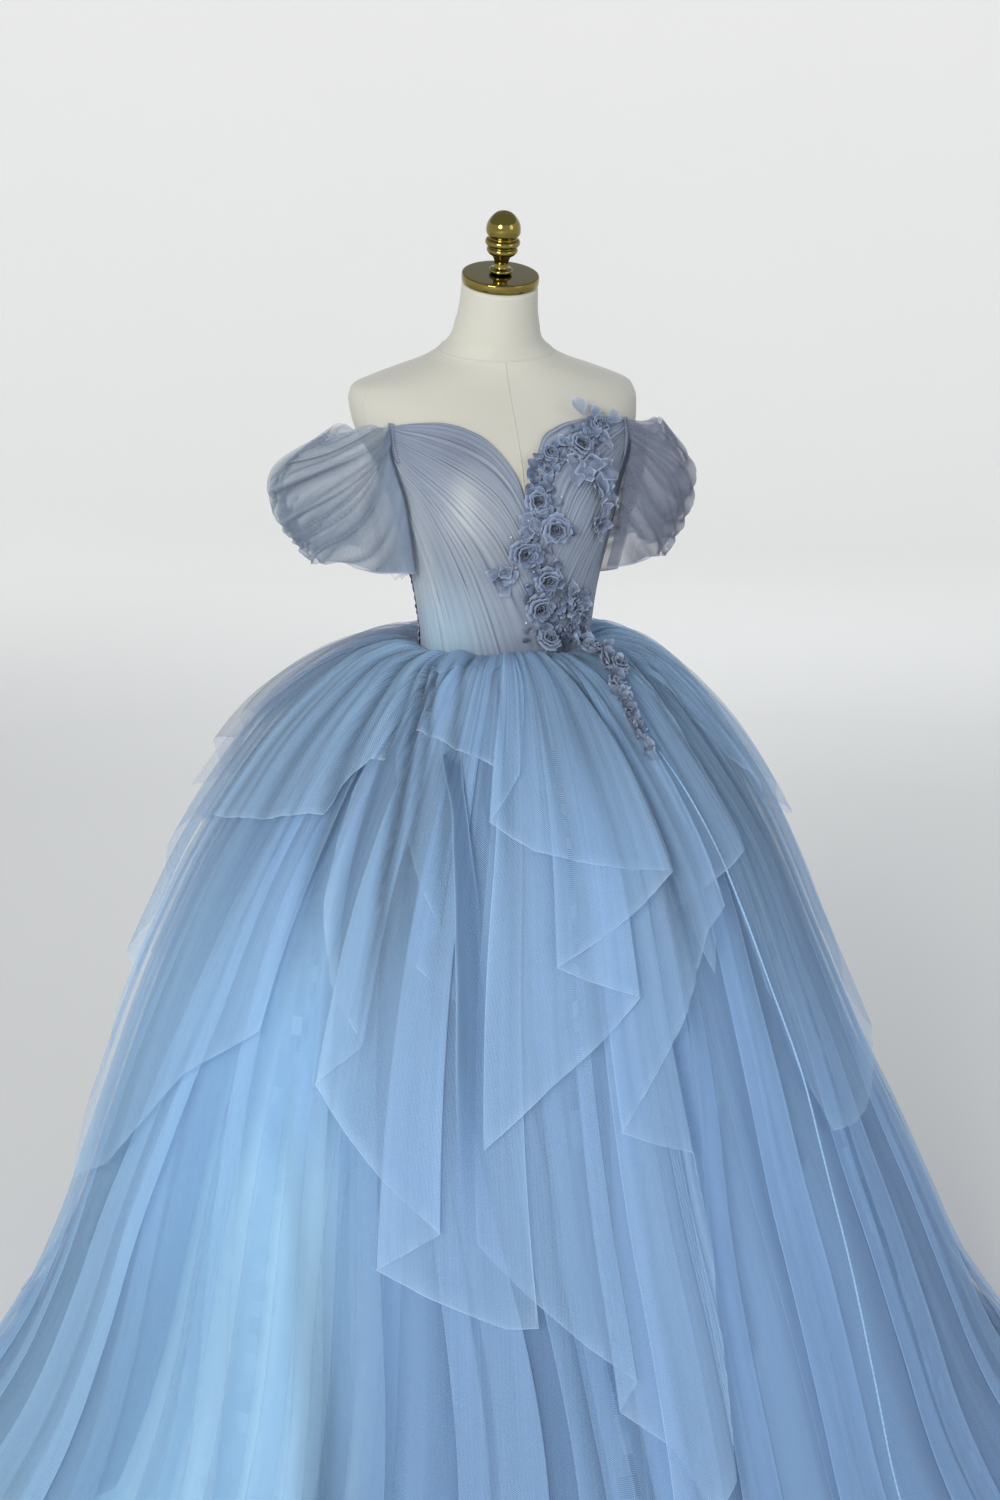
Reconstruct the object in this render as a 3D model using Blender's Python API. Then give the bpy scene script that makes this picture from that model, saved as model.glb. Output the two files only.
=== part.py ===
# Ball gown on a limbless dress form. Metres, +Z up, the gown's front faces -Y.
# Origin: centre of the stand's base plate on the floor.
import bpy, bmesh, math
import numpy as np
from mathutils import Vector, Matrix

for ob in list(bpy.data.objects):
    bpy.data.objects.remove(ob, do_unlink=True)

# ------------------------------------------------------------------ named sizes (metres)
WAIST_Z = 1.100            # height of the waist seam
SEAM_GAP = 0.0002          # half of the gap left at each seam
BODICE_GAP = 0.0030        # air between the form and the bodice
BODICE_WALL = 0.0016
BODICE_PLEAT = 0.0012      # height of the bodice's ruched pleats
SKIRT_WALL = 0.0016
LINING_WALL = 0.0014
OVERLAY_WALL = 0.0012
SLEEVE_WALL = 0.0012
GORES = 8                  # skirt gores
GORE_COLUMNS = 8          # columns of facets in a gore
BASE_RADIUS = 0.185        # stand's base plate
BASE_THICK = 0.012
POLE_RADIUS = 0.0125
CAP_RADIUS = 0.0512
CAP_RIM = 0.0125
LEAN = 0.30                # forward lean of the neck's axis (dy/dz)

# ------------------------------------------------------------------ tables
# The form's level sections: height, half width, front and back reach along Y, Y of the
# widest point, squareness of the outline, forward tilt of the section
FORM_COLS = ("z", "half", "front", "back", "widest", "square", "tilt")
FORM = [
    (0.880, 0.1180, -0.0760, 0.0860, 0.004, 2.10, 0.00),
    (0.890, 0.1370, -0.0900, 0.1020, 0.004, 2.10, 0.00),
    (0.930, 0.1500, -0.0990, 0.1120, 0.006, 2.10, 0.00),
    (0.980, 0.1480, -0.0990, 0.1110, 0.006, 2.10, 0.00),
    (1.040, 0.1270, -0.0920, 0.0970, 0.004, 2.10, 0.00),
    (1.100, 0.1125, -0.0840, 0.0830, 0.000, 2.10, 0.00),
    (1.150, 0.1160, -0.0890, 0.0860, 0.000, 2.10, 0.00),
    (1.200, 0.1240, -0.0985, 0.0920, 0.000, 2.12, 0.00),
    (1.240, 0.1330, -0.1080, 0.0970, 0.000, 2.15, 0.00),
    (1.280, 0.1430, -0.1150, 0.1020, 0.003, 2.18, 0.00),
    (1.320, 0.1540, -0.1110, 0.1090, 0.018, 2.22, 0.00),
    (1.355, 0.1730, -0.0960, 0.1190, 0.042, 2.28, 0.00),
    (1.385, 0.1890, -0.0740, 0.1290, 0.060, 2.36, 0.00),
    (1.412, 0.1955, -0.0510, 0.1360, 0.071, 2.42, 0.00),
    (1.436, 0.1955, -0.0300, 0.1380, 0.078, 2.40, 0.00),
    (1.449, 0.1875, -0.0190, 0.1350, 0.082, 2.30, 0.00),
    (1.460, 0.1620, -0.0110, 0.1300, 0.081, 2.20, 0.00),
    (1.470, 0.1340, -0.0060, 0.1250, 0.078, 2.10, 0.02),
    (1.482, 0.0990, -0.0020, 0.1190, 0.070, 2.00, 0.06),
    (1.502, 0.0680, -0.0030, 0.1090, 0.058, 2.00, 0.14),
    (1.532, 0.0556, -0.0090, 0.0960, 0.045, 2.00, 0.22),
    (1.580, 0.0497, -0.0210, 0.0790, 0.030, 2.00, 0.30),
]
# A soft fullness of the bodice on each side of the centre front
CUP = {"x": 0.072, "z": 1.285, "wide": 0.045, "tall": 0.060, "deep": 0.017}

# Skirt profile: distance along it, radius, height, sideways shift of the ring's centre
SKIRT_COLS = ("s", "r", "z", "dx")
SKIRT = [
    (0.00, 0.1190, 1.0980, 0.000),
    (0.03, 0.1490, 1.1060, 0.000),
    (0.06, 0.1830, 1.0980, 0.000),
    (0.11, 0.2320, 1.0660, 0.000),
    (0.17, 0.2970, 1.0000, -0.004),
    (0.24, 0.3620, 0.9100, -0.008),
    (0.31, 0.4100, 0.8250, -0.014),
    (0.40, 0.4550, 0.7250, -0.018),
    (0.50, 0.5050, 0.6100, -0.018),
    (0.60, 0.5520, 0.4950, -0.014),
    (0.70, 0.6020, 0.3800, -0.006),
    (0.80, 0.6520, 0.2600, 0.000),
    (0.90, 0.7140, 0.1300, 0.000),
    (1.00, 0.7980, 0.0060, 0.000),
]
# rows of facets down the skirt, shared by every layer
LEVELS = (0.0, 0.03, 0.07, 0.12, 0.18, 0.25, 0.36, 0.53, 0.76, 1.0)

# Main skirt folds: azimuth of the ridge (0 = front, + = gown's left hand seen from the
# front as the right), its half width, and the depth of its side troughs at the hem
FOLD_COLS = ("az", "half_width", "depth")
FOLDS = [
    (-172, 10.0, 0.030), (-153, 8.5, 0.026), (-136, 8.0, 0.034), (-119, 9.0, 0.024),
    (-101, 8.5, 0.030), (-84, 8.0, 0.022), (-68, 8.0, 0.030), (-52, 8.5, 0.024),
    (-35, 8.5, 0.030), (-19, 7.5, 0.034), (-5, 6.5, 0.024), (8, 7.0, 0.032),
    (22, 7.5, 0.028), (37, 7.5, 0.034), (52, 8.0, 0.022), (69, 8.5, 0.030),
    (86, 8.0, 0.026), (103, 9.0, 0.034), (121, 8.5, 0.024), (138, 8.5, 0.030),
    (156, 9.0, 0.028),
]

# Lining: how far it lies inside the skirt and below it
LINING_COLS = ("s", "inset", "drop")
LINING = [(0.0, 0.0000, 0.0060), (0.03, 0.0020, 0.0120), (0.06, 0.0060, 0.0150),
          (0.11, 0.0160, 0.0160), (0.17, 0.0300, 0.0160), (0.24, 0.0430, 0.0140),
          (0.40, 0.0560, 0.0100), (0.70, 0.0600, 0.0000), (1.0, 0.0620, -0.0080)]

# Overlay panels: azimuth at the waist and at the hem, hem's place along the profile,
# height above the skirt. One row for each corner of the pointed hem.
OVERLAY_COLS = ("az_waist", "az_hem", "s_hem", "lift")
OVERLAYS = {
    "overlay_front_tip": (8.0, [
        (-40.0, -42.0, 0.150, 0.0125), (-33.0, -34.0, 0.160, 0.0125), (-24.0, -24.0, 0.172, 0.0125),
        (-15.0, -14.0, 0.190, 0.0125)]),
    "overlay_front_upper": (10.5, [
        (-14.0, -15.5, 0.218, 0.0225), (-8.0, -6.1, 0.240, 0.0225), (0.0, 7.8, 0.257, 0.0225),
        (9.0, 19.5, 0.267, 0.0225)]),
    "overlay_front_lower": (8.0, [
        (-11.0, -13.8, 0.511, 0.0180), (-6.0, -9.0, 0.480, 0.0180), (-2.0, -4.7, 0.455, 0.0180),
        (3.0, 1.0, 0.425, 0.0180), (7.0, 5.7, 0.403, 0.0180), (11.0, 10.0, 0.377, 0.0180)]),
    "overlay_front_right": (5.5, [
        (3.0, 4.0, 0.520, 0.0140), (9.0, 11.0, 0.450, 0.0140), (13.0, 16.3, 0.415, 0.0140),
        (18.0, 23.3, 0.349, 0.0145), (23.0, 30.0, 0.309, 0.0155)]),
    "overlay_front_long": (3.0, [
        (-4.0, -4.4, 0.700, 0.0070), (0.0, 2.0, 0.735, 0.0070), (4.0, 4.5, 0.870, 0.0105),
        (10.0, 11.0, 0.850, 0.0105), (15.0, 15.5, 0.560, 0.0075)]),
    "overlay_front_left": (4.5, [
        (-37.0, -39.0, 0.460, 0.0080), (-33.0, -34.5, 0.495, 0.0080), (-27.0, -27.4, 0.632, 0.0080),
        (-20.0, -19.3, 0.655, 0.0080), (-14.0, -12.0, 0.679, 0.0080), (-9.0, -8.0, 0.679, 0.0080)]),
    "overlay_side_right": (4.5, [
        (26.0, 33.0, 0.275, 0.0080), (36.0, 42.0, 0.255, 0.0085), (44.0, 46.5, 0.579, 0.0085),
        (52.0, 54.0, 0.590, 0.0085), (62.0, 70.0, 0.541, 0.0110), (72.0, 74.0, 0.300, 0.0150),
        (82.0, 84.0, 0.340, 0.0110), (92.0, 92.0, 0.430, 0.0085)]),
    "overlay_side_left": (4.5, [
        (-96.0, -98.0, 0.360, 0.0200), (-90.0, -94.0, 0.470, 0.0200), (-80.0, -88.0, 0.700, 0.0140),
        (-68.0, -72.0, 0.640, 0.0085), (-56.0, -60.0, 0.480, 0.0085), (-44.0, -47.0, 0.400, 0.0080)]),
    "overlay_back_left": (7.5, [
        (-160.0, -162.0, 0.300, 0.0220), (-142.0, -142.0, 0.235, 0.0300), (-124.0, -124.0, 0.215, 0.0400),
        (-108.0, -110.0, 0.225, 0.0420), (-100.0, -101.0, 0.265, 0.0360)]),
    "overlay_back_centre": (4.5, [
        (-172.0, -172.0, 0.560, 0.0080), (-164.0, -166.0, 0.640, 0.0085), (-154.0, -152.0, 0.500, 0.0080),
        (-142.0, -140.0, 0.430, 0.0080), (-130.0, -128.0, 0.560, 0.0085), (-116.0, -114.0, 0.500, 0.0080)]),
    "overlay_back_right": (4.5, [
        (104.0, 103.0, 0.380, 0.0080), (114.0, 113.0, 0.470, 0.0085), (126.0, 126.0, 0.640, 0.0085),
        (140.0, 138.0, 0.520, 0.0080), (152.0, 153.0, 0.430, 0.0080), (170.0, 170.0, 0.540, 0.0085)]),
    "overlay_back_upper": (7.5, [
        (98.0, 98.0, 0.240, 0.0150), (112.0, 114.0, 0.290, 0.0170), (128.0, 126.0, 0.220, 0.0150),
        (146.0, 146.0, 0.270, 0.0170), (164.0, 164.0, 0.240, 0.0150)]),
}

# Top edge of the bodice: for the front by distance from the centre, for the rest by angle
NECK_COLS = ("x", "z")
NECK = [(-0.155, 1.4010), (-0.121, 1.4050), (-0.089, 1.4045), (-0.0645, 1.3975), (-0.0385, 1.3820),
        (-0.021, 1.3610), (-0.008, 1.3380), (0.000, 1.3130), (0.010, 1.3380), (0.019, 1.3600),
        (0.030, 1.3820), (0.052, 1.3970), (0.085, 1.4050), (0.120, 1.4070), (0.155, 1.4040)]
ARMHOLE_COLS = ("angle", "z")
ARMHOLE = [(50.0, 1.4010), (57.0, 1.3860), (66.0, 1.3600), (78.0, 1.3440), (92.0, 1.3380),
           (110.0, 1.3420), (128.0, 1.3400), (145.0, 1.3280), (165.0, 1.3140), (180.0, 1.3080)]
SIDE_SEAM = 92.0           # angle of the side seams
FRONT_SEAM_X = 0.034       # where the front seam meets the waist
NECK_END = 50.0            # angle where the neckline becomes the armhole
ZIP_GAP = 0.0010           # half of the slot between the two back panels

# Sleeve tube from its top edge to its cuff: heights and X of the outer and of the body side,
# Y of the front, of the back and of the widest point
SLEEVE_COLS = ("v", "z_out", "z_in", "x_out", "x_in", "y_front", "y_back", "y_mid")
SLEEVE = [
    (0.00, 1.393, 1.345, 0.219, 0.1690, -0.050, 0.162, 0.058),
    (0.10, 1.379, 1.338, 0.236, 0.1675, -0.064, 0.174, 0.058),
    (0.22, 1.362, 1.328, 0.262, 0.1650, -0.074, 0.182, 0.058),
    (0.36, 1.340, 1.312, 0.289, 0.1615, -0.080, 0.186, 0.058),
    (0.50, 1.309, 1.290, 0.300, 0.1570, -0.080, 0.184, 0.058),
    (0.64, 1.282, 1.264, 0.294, 0.1510, -0.074, 0.176, 0.058),
    (0.78, 1.256, 1.236, 0.280, 0.1445, -0.062, 0.160, 0.056),
    (0.90, 1.236, 1.208, 0.264, 0.1385, -0.044, 0.142, 0.052),
    (1.00, 1.221, 1.184, 0.254, 0.1340, -0.028, 0.126, 0.050),
]
# Where a sleeve is gathered to the bodice: turn around the arm, angle on the form, top, drop
GATHER_COLS = ("turn", "angle", "top", "drop")
GATHERS = [(126.0, 52.5, 1.401, 0.052), (232.0, 122.0, 1.356, 0.040)]
SLEEVE_ROOM = 0.0074                   # air kept between the form and a sleeve's inside
SLEEVE_REACH = {-1: 1.10, 1: 0.57}    # fullness of each sleeve's outer side
SLEEVE_RISE = 0.020                    # how far the top edge rises again in front of the shoulder
SLEEVE_RIDGES = 9                      # pleats that fan from each gather
SLEEVE_RIDGE = 0.006

# Flowers on the bodice: place across (X) and up (Z) on the front, radius, height, petals
FLOWER_COLS = ("x", "z", "radius", "height", "petals")
FLOWERS = {
    "rose_01": (0.1120, 1.3960, 0.0130, 0.0100, 5),
    "rose_02": (0.0795, 1.3730, 0.0170, 0.0140, 6),
    "rose_03": (0.0370, 1.3660, 0.0110, 0.0100, 5),
    "rose_04": (0.0310, 1.3465, 0.0075, 0.0080, 5),
    "rose_05": (0.0160, 1.3110, 0.0150, 0.0130, 6),
    "rose_06": (0.0385, 1.2790, 0.0180, 0.0150, 6),
    "rose_07": (-0.0025, 1.2490, 0.0185, 0.0150, 6),
    "rose_08": (0.0310, 1.2105, 0.0170, 0.0140, 6),
    "rose_09": (0.0225, 1.1710, 0.0180, 0.0150, 6),
    "spray_01": (-0.0260, 1.2165, 0.0165, 0.0080, 5),
    "spray_02": (0.0985, 1.3210, 0.0190, 0.0090, 5),
    "spray_03": (0.0975, 1.2760, 0.0170, 0.0090, 4),
    "spray_04": (0.0730, 1.1720, 0.0170, 0.0080, 5),
    "spray_05": (0.0680, 1.1340, 0.0140, 0.0080, 5),
}
# Flowers on the skirt: azimuth, place along the profile, radius, height, petals, lift
TRAIL_COLS = ("az", "s", "radius", "height", "petals")
TRAIL = {
    "rose_11": (37.5, 0.0500, 0.0150, 0.0130, 6),
    "rose_12": (37.5, 0.0860, 0.0140, 0.0140, 6),
    "petals_01": (30.5, 0.1060, 0.0095, 0.0080, 5),
    "petals_02": (28.8, 0.1270, 0.0090, 0.0080, 5),
    "petals_03": (28.0, 0.1470, 0.0085, 0.0070, 4),
    "petals_04": (27.8, 0.1660, 0.0075, 0.0070, 4),
}
# The rose that closes the spray at the waist: azimuth, radius and height of its place,
# how far it faces up, its size
WAIST_ROSE_COLS = ("az", "r", "z", "up", "radius", "height", "petals")
WAIST_ROSE = (17.0, 0.1130, 1.1240, 1.05, 0.0145, 0.0130, 6)

# Turned finial: distance along its axis from the cap, radius
FINIAL_COLS = ("h", "r")
FINIAL = [(0.0000, 0.0105), (0.0015, 0.0140), (0.0035, 0.0158), (0.0060, 0.0150), (0.0080, 0.0105),
          (0.0120, 0.0095), (0.0180, 0.0100), (0.0235, 0.0130), (0.0270, 0.0180), (0.0310, 0.0205),
          (0.0345, 0.0195), (0.0360, 0.0178), (0.0378, 0.0210), (0.0415, 0.0230), (0.0455, 0.0218),
          (0.0480, 0.0182), (0.0500, 0.0192), (0.0530, 0.0218), (0.0590, 0.0227), (0.0660, 0.0215),
          (0.0740, 0.0170), (0.0805, 0.0100), (0.0836, 0.0000)]

# Centre-back zip
ZIP_TAPE_HALF = 0.0060
ZIP_Z = (1.1040, 1.2960)
SLIDER_Z = 1.2900          # middle of the slider
SLIDER = {"wide": 0.0060, "tall": 0.0100, "thick": 0.0018}
BRIDGE = {"wide": 0.0016, "thick": 0.0008, "rise": 0.0034, "tall": 0.0060}
PULL = {"wide": 0.0052, "long": 0.0240, "thick": 0.0009, "eye_wide": 0.0028, "eye_long": 0.0044,
        "bar": 0.0007}


# ------------------------------------------------------------------ curves through the tables
def column(table, cols, name):
    return np.array([row[cols.index(name)] for row in table], float)


def through(xs, ys, x):
    """Smooth curve through the table's points, flat outside them."""
    xs = np.asarray(xs, float)
    ys = np.asarray(ys, float)
    h = np.diff(xs)
    d = np.diff(ys) / h
    m = np.empty_like(ys)
    m[0], m[-1] = d[0], d[-1]
    m[1:-1] = (d[:-1] * h[1:] + d[1:] * h[:-1]) / (h[1:] + h[:-1])
    x = min(max(x, xs[0]), xs[-1])
    i = int(min(max(np.searchsorted(xs, x, side="right") - 1, 0), len(xs) - 2))
    t = (x - xs[i]) / h[i]
    return float((2 * t**3 - 3 * t**2 + 1) * ys[i] + (t**3 - 2 * t**2 + t) * h[i] * m[i]
                 + (-2 * t**3 + 3 * t**2) * ys[i + 1] + (t**3 - t**2) * h[i] * m[i + 1])


def read(table, cols, key, name, x):
    return through(column(table, cols, key), column(table, cols, name), x)


def smooth01(x):
    x = min(max(x, 0.0), 1.0)
    return x * x * (3 - 2 * x)


# ------------------------------------------------------------------ the form's surface
def form_point(z, angle):
    """Point of the form's skin: angle 0 is the centre front, 90 the side at +X."""
    a = math.radians(angle)
    half, front, back, mid, sq, tilt = (read(FORM, FORM_COLS, "z", c, z) for c in FORM_COLS[1:])
    sx = math.copysign(abs(math.sin(a)) ** (2 / sq), math.sin(a))
    cy = math.copysign(abs(math.cos(a)) ** (2 / sq), math.cos(a))
    x = half * sx
    y = mid - (mid - front) * cy if cy >= 0 else mid + (back - mid) * -cy
    if cy > 0:
        y -= (CUP["deep"] * math.exp(-((abs(x) - CUP["x"]) / CUP["wide"]) ** 2)
              * math.exp(-((z - CUP["z"]) / CUP["tall"]) ** 2) * math.sqrt(cy))
    return Vector((x, y, z + tilt * (y - mid)))


def form_off(z, angle, off):
    """Point at a distance off outside the form's skin."""
    p = form_point(z, angle)
    du = form_point(z, angle + 0.8) - form_point(z, angle - 0.8)
    dv = form_point(z + 0.003, angle) - form_point(z - 0.003, angle)
    n = du.cross(dv).normalized()
    if n.x * p.x + n.y * (p.y - 0.01) < 0:
        n = -n
    return p + n * off


def angle_at(z, x):
    """Angle on the front of the section at height z whose X is x."""
    half = read(FORM, FORM_COLS, "z", "half", z)
    sq = read(FORM, FORM_COLS, "z", "square", z)
    q = min(abs(x) / half, 1.0) ** (sq / 2)
    return math.copysign(math.degrees(math.asin(q)), x)


def top_edge(angle):
    """Height of the bodice's top edge at an angle."""
    if abs(angle) >= NECK_END:
        return read(ARMHOLE, ARMHOLE_COLS, "angle", "z", abs(angle))
    z = 1.38
    for _ in range(12):
        x = form_point(z, angle).x
        z = 0.5 * z + 0.5 * read(NECK, NECK_COLS, "x", "z", x)
    blend = smooth01((abs(angle) - 44.0) / 6.0)
    return (1 - blend) * z + blend * read(ARMHOLE, ARMHOLE_COLS, "angle", "z", NECK_END)


def waist_edge(angle):
    return WAIST_Z + 0.0005 - 0.004 * max(math.cos(math.radians(angle)), 0.0) ** 2


# ------------------------------------------------------------------ the skirt's surface
_ring = [form_off(WAIST_Z, a, BODICE_GAP + BODICE_WALL + BODICE_PLEAT + 0.0012) for a in range(-180, 181, 3)]
_ring_az = [math.degrees(math.atan2(p.x, -p.y)) for p in _ring]
_ring_az[0], _ring_az[-1] = -180.0, 180.0
_ring_r = [math.hypot(p.x, p.y) for p in _ring]
SIDE_R = SKIRT[0][1]


def skirt_base(az, s):
    """Radius, height and centre shift of the skirt's outer shape, before its folds."""
    r = read(SKIRT, SKIRT_COLS, "s", "r", s)
    z = read(SKIRT, SKIRT_COLS, "s", "z", s)
    dx = read(SKIRT, SKIRT_COLS, "s", "dx", s)
    w = smooth01(1 - s / 0.30) if s < 0.30 else 0.0
    az = (az + 180.0) % 360.0 - 180.0
    rw = float(np.interp(az, _ring_az, _ring_r))
    r *= 1 - w * (1 - rw / SIDE_R)
    z -= 0.004 * max(math.cos(math.radians(az)), 0.0) ** 2 * max(1 - s / 0.1, 0.0)
    return r, z, dx


def skirt_normal(s):
    """Outward normal of the profile as (radial, vertical); straight up at the waist."""
    a, b = max(s - 0.01, 0.0), min(s + 0.01, 1.0)
    dr = read(SKIRT, SKIRT_COLS, "s", "r", b) - read(SKIRT, SKIRT_COLS, "s", "r", a)
    dz = read(SKIRT, SKIRT_COLS, "s", "z", b) - read(SKIRT, SKIRT_COLS, "s", "z", a)
    nr, nz = max(-dz, 0.0), dr
    m = math.hypot(nr, nz)
    return nr / m, nz / m


def fold_depth(az, s):
    """How far the skirt falls back between its ridges (always inwards)."""
    az = (az + 180.0) % 360.0 - 180.0
    best, deep = 0.0, 0.0
    wsum = 0.0
    for ridge, half, depth in FOLDS:
        d = abs((az - ridge + 180.0) % 360.0 - 180.0)
        w = math.exp(-(d / 14.0) ** 2)
        deep += w * depth
        wsum += w
        if d < half:
            best = max(best, math.cos(0.5 * math.pi * d / half) ** 2)
    deep /= wsum
    grow = smooth01(s / 0.25) * (0.35 + 0.65 * s)
    return deep * grow * (1 - best)


def skirt_point(az, s, lift=0.0, folds=True):
    r, z, dx = skirt_base(az, s)
    nr, nz = skirt_normal(s)
    off = lift - (fold_depth(az, s) if folds else 0.0)
    a = math.radians(az)
    rr = r + off * nr
    return Vector((dx + rr * math.sin(a), -rr * math.cos(a), max(z + off * nz, 0.0052)))


# ------------------------------------------------------------------ solids
def material(name, color, rough, metal=0.0):
    m = bpy.data.materials.get(name) or bpy.data.materials.new(name)
    m.use_nodes = True
    b = m.node_tree.nodes["Principled BSDF"]
    b.inputs["Base Color"].default_value = (*color, 1.0)
    b.inputs["Roughness"].default_value = rough
    b.inputs["Metallic"].default_value = metal
    return m


TULLE = ("tulle_blue", (0.34, 0.50, 0.72), 0.75)
BODICE = ("tulle_periwinkle", (0.40, 0.46, 0.62), 0.7)
LINED = ("lining_cyan", (0.50, 0.72, 0.80), 0.5)
PETAL = ("petal_blue", (0.30, 0.38, 0.55), 0.8)
IVORY = ("form_ivory", (0.80, 0.77, 0.68), 0.8)
GOLD = ("gold", (0.83, 0.62, 0.22), 0.18, 1.0)
STEEL = ("stand_white", (0.75, 0.74, 0.70), 0.35)
ZIPS = ("zip_blue", (0.36, 0.44, 0.60), 0.5)


def add_object(name, verts, faces, mat, smooth=True, origin=None):
    me = bpy.data.meshes.new(name)
    o = Vector(origin) if origin is not None else Vector((0, 0, 0))
    me.from_pydata([tuple(Vector(v) - o) for v in verts], [], faces)
    bm = bmesh.new()
    bm.from_mesh(me)
    bmesh.ops.triangulate(bm, faces=[f for f in bm.faces if len(f.verts) > 3])
    bmesh.ops.recalc_face_normals(bm, faces=bm.faces)
    if bm.calc_volume(signed=True) < 0:
        bmesh.ops.reverse_faces(bm, faces=bm.faces)
    bm.to_mesh(me)
    bm.free()
    if smooth:
        me.shade_smooth()
        me.set_sharp_from_angle(angle=math.radians(50))
    ob = bpy.data.objects.new(name, me)
    ob.location = o
    bpy.context.scene.collection.objects.link(ob)
    me.materials.append(material(*mat))
    return ob


def wall(name, outer, inner, mat, closed=False, origin=None):
    """A closed wall between two equal grids of points, [column][row]; closed joins its ends."""
    nu, nv = len(outer), len(outer[0])
    verts = [p for col in outer for p in col] + [p for col in inner for p in col]
    at = lambda i, j: (i % nu) * nv + j
    ins = nu * nv
    faces = []
    spans = nu if closed else nu - 1
    for i in range(spans):
        for j in range(nv - 1):
            faces.append((at(i, j), at(i + 1, j), at(i + 1, j + 1), at(i, j + 1)))
            faces.append((ins + at(i, j), ins + at(i, j + 1), ins + at(i + 1, j + 1), ins + at(i + 1, j)))
        for j in (0, nv - 1):
            faces.append((at(i, j), ins + at(i, j), ins + at(i + 1, j), at(i + 1, j)))
    if not closed:
        for i in (0, nu - 1):
            for j in range(nv - 1):
                faces.append((at(i, j), at(i, j + 1), ins + at(i, j + 1), ins + at(i, j)))
    return add_object(name, verts, faces, mat, origin=origin)


def stack(name, rings, mat, sharp=50):
    """A closed solid through rings of equal count, capped at both ends; a ring may be one point."""
    verts, starts = [], []
    for ring in rings:
        starts.append((len(verts), len(ring)))
        verts += list(ring)
    faces = []
    for (a, na), (b, nb) in zip(starts, starts[1:]):
        n = max(na, nb)
        for i in range(n):
            j = (i + 1) % n
            if na == 1:
                faces.append((a, b + j, b + i))
            elif nb == 1:
                faces.append((a + i, a + j, b))
            else:
                faces.append((a + i, a + j, b + j, b + i))
    for k in (0, -1):
        s0, n = starts[k]
        if n > 1:
            faces.append(tuple(range(s0, s0 + n)))
    return add_object(name, verts, faces, mat)


def disc_ring(centre, radius, count, tilt=0.0, phase=0.0):
    """A ring square to an axis that leans towards the front by tilt (dy/dz)."""
    k = 1 / math.sqrt(1 + tilt * tilt)
    ring = []
    for i in range(count):
        a = 2 * math.pi * i / count + phase
        x, y = radius * math.cos(a), radius * math.sin(a)
        ring.append(Vector((centre[0] + x, centre[1] + y * k, centre[2] + y * k * tilt)))
    return ring


# ------------------------------------------------------------------ dress form and stand
def form_torso():
    heights = [0.880, 0.890, 0.930, 0.985, 1.040, 1.100, 1.160, 1.210, 1.250, 1.285, 1.320, 1.355,
               1.385, 1.412, 1.434, 1.449, 1.460, 1.470, 1.482, 1.502, 1.532, 1.580]
    rings = [[form_point(z, a * 360.0 / 26) for a in range(26)] for z in heights]
    return stack("form_torso", rings, IVORY)


CAP_BASE = Vector((0.0, 0.030 - 0.0006 * LEAN, 1.5806))   # where the neck's axis meets the cap


def along(h):
    """Point on the neck's leaning axis, h above the cap's underside."""
    k = 1 / math.sqrt(1 + LEAN * LEAN)
    return CAP_BASE + Vector((0.0, -LEAN * k * h, k * h))


def form_cap():
    prof = [(0.0000, CAP_RADIUS - 0.0012), (0.0010, CAP_RADIUS), (CAP_RIM - 0.0012, CAP_RADIUS),
            (CAP_RIM, CAP_RADIUS - 0.0012)]
    rings = [disc_ring(along(h), r, 24, LEAN) for h, r in prof]
    return stack("form_neck_cap", rings, GOLD)


def form_finial():
    rings = []
    for h, r in FINIAL:
        c = along(CAP_RIM + 0.0003 + h)
        rings.append([c] if r == 0.0 else disc_ring(c, r, 12, LEAN))
    return stack("form_finial", rings, GOLD)


def form_stand():
    pole = [disc_ring((0, 0, z), POLE_RADIUS, 14) for z in (BASE_THICK + 0.0163, 0.8797)]
    stack("form_pole", pole, STEEL)
    prof = [(0.0, BASE_RADIUS), (0.007, BASE_RADIUS), (BASE_THICK, BASE_RADIUS - 0.008),
            (BASE_THICK + 0.001, 0.030), (BASE_THICK + 0.016, 0.022)]
    stack("form_base", [disc_ring((0, 0, z), r, 24) for z, r in prof], STEEL)


# ------------------------------------------------------------------ bodice
def front_pleat(side, angle, z):
    """Ruched pleats that fan from the gather at the top of the side (0 to 1)."""
    p = form_point(z, angle)
    gx, gz = side * 0.170, 1.395
    bear = math.atan2(gz - z, abs(gx - p.x) + 0.02)
    far = math.hypot(gx - p.x, gz - z)
    return 0.5 + 0.5 * math.cos(2 * math.pi * 6.0 * bear / 1.5 + 4.0 * far)


def back_pleat(side, angle, z):
    p = form_point(z, angle)
    bear = math.atan2(1.345 - z, abs(side * 0.165 - p.x) + 0.03)
    return 0.5 + 0.5 * math.cos(2 * math.pi * 5.0 * bear / 1.5)


def bodice_panel(name, side, left, right, pleat, columns, rows, crowd=1.0):
    """left and right give the panel's edge angles at a height share v from waist to top."""
    outer, inner = [], []
    for i in range(columns + 1):
        u = (i / columns) ** crowd if side < 0 else 1 - (1 - i / columns) ** crowd
        oc, ic = [], []
        for j in range(rows + 1):
            v = j / rows
            ang = left(v) + (right(v) - left(v)) * u
            z0, z1 = waist_edge(ang), top_edge(ang)
            z = z0 + (z1 - z0) * v
            edge = min(1.0, 4 * u, 4 * (1 - u), 5 * v + 0.4, 5 * (1 - v) + 0.4)
            lift = BODICE_PLEAT * pleat(side, ang, z) * edge
            oc.append(form_off(z, ang, BODICE_GAP + BODICE_WALL + lift))
            ic.append(form_off(z, ang, BODICE_GAP))
        outer.append(oc)
        inner.append(ic)
    return wall(name, outer, inner, BODICE)


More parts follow.
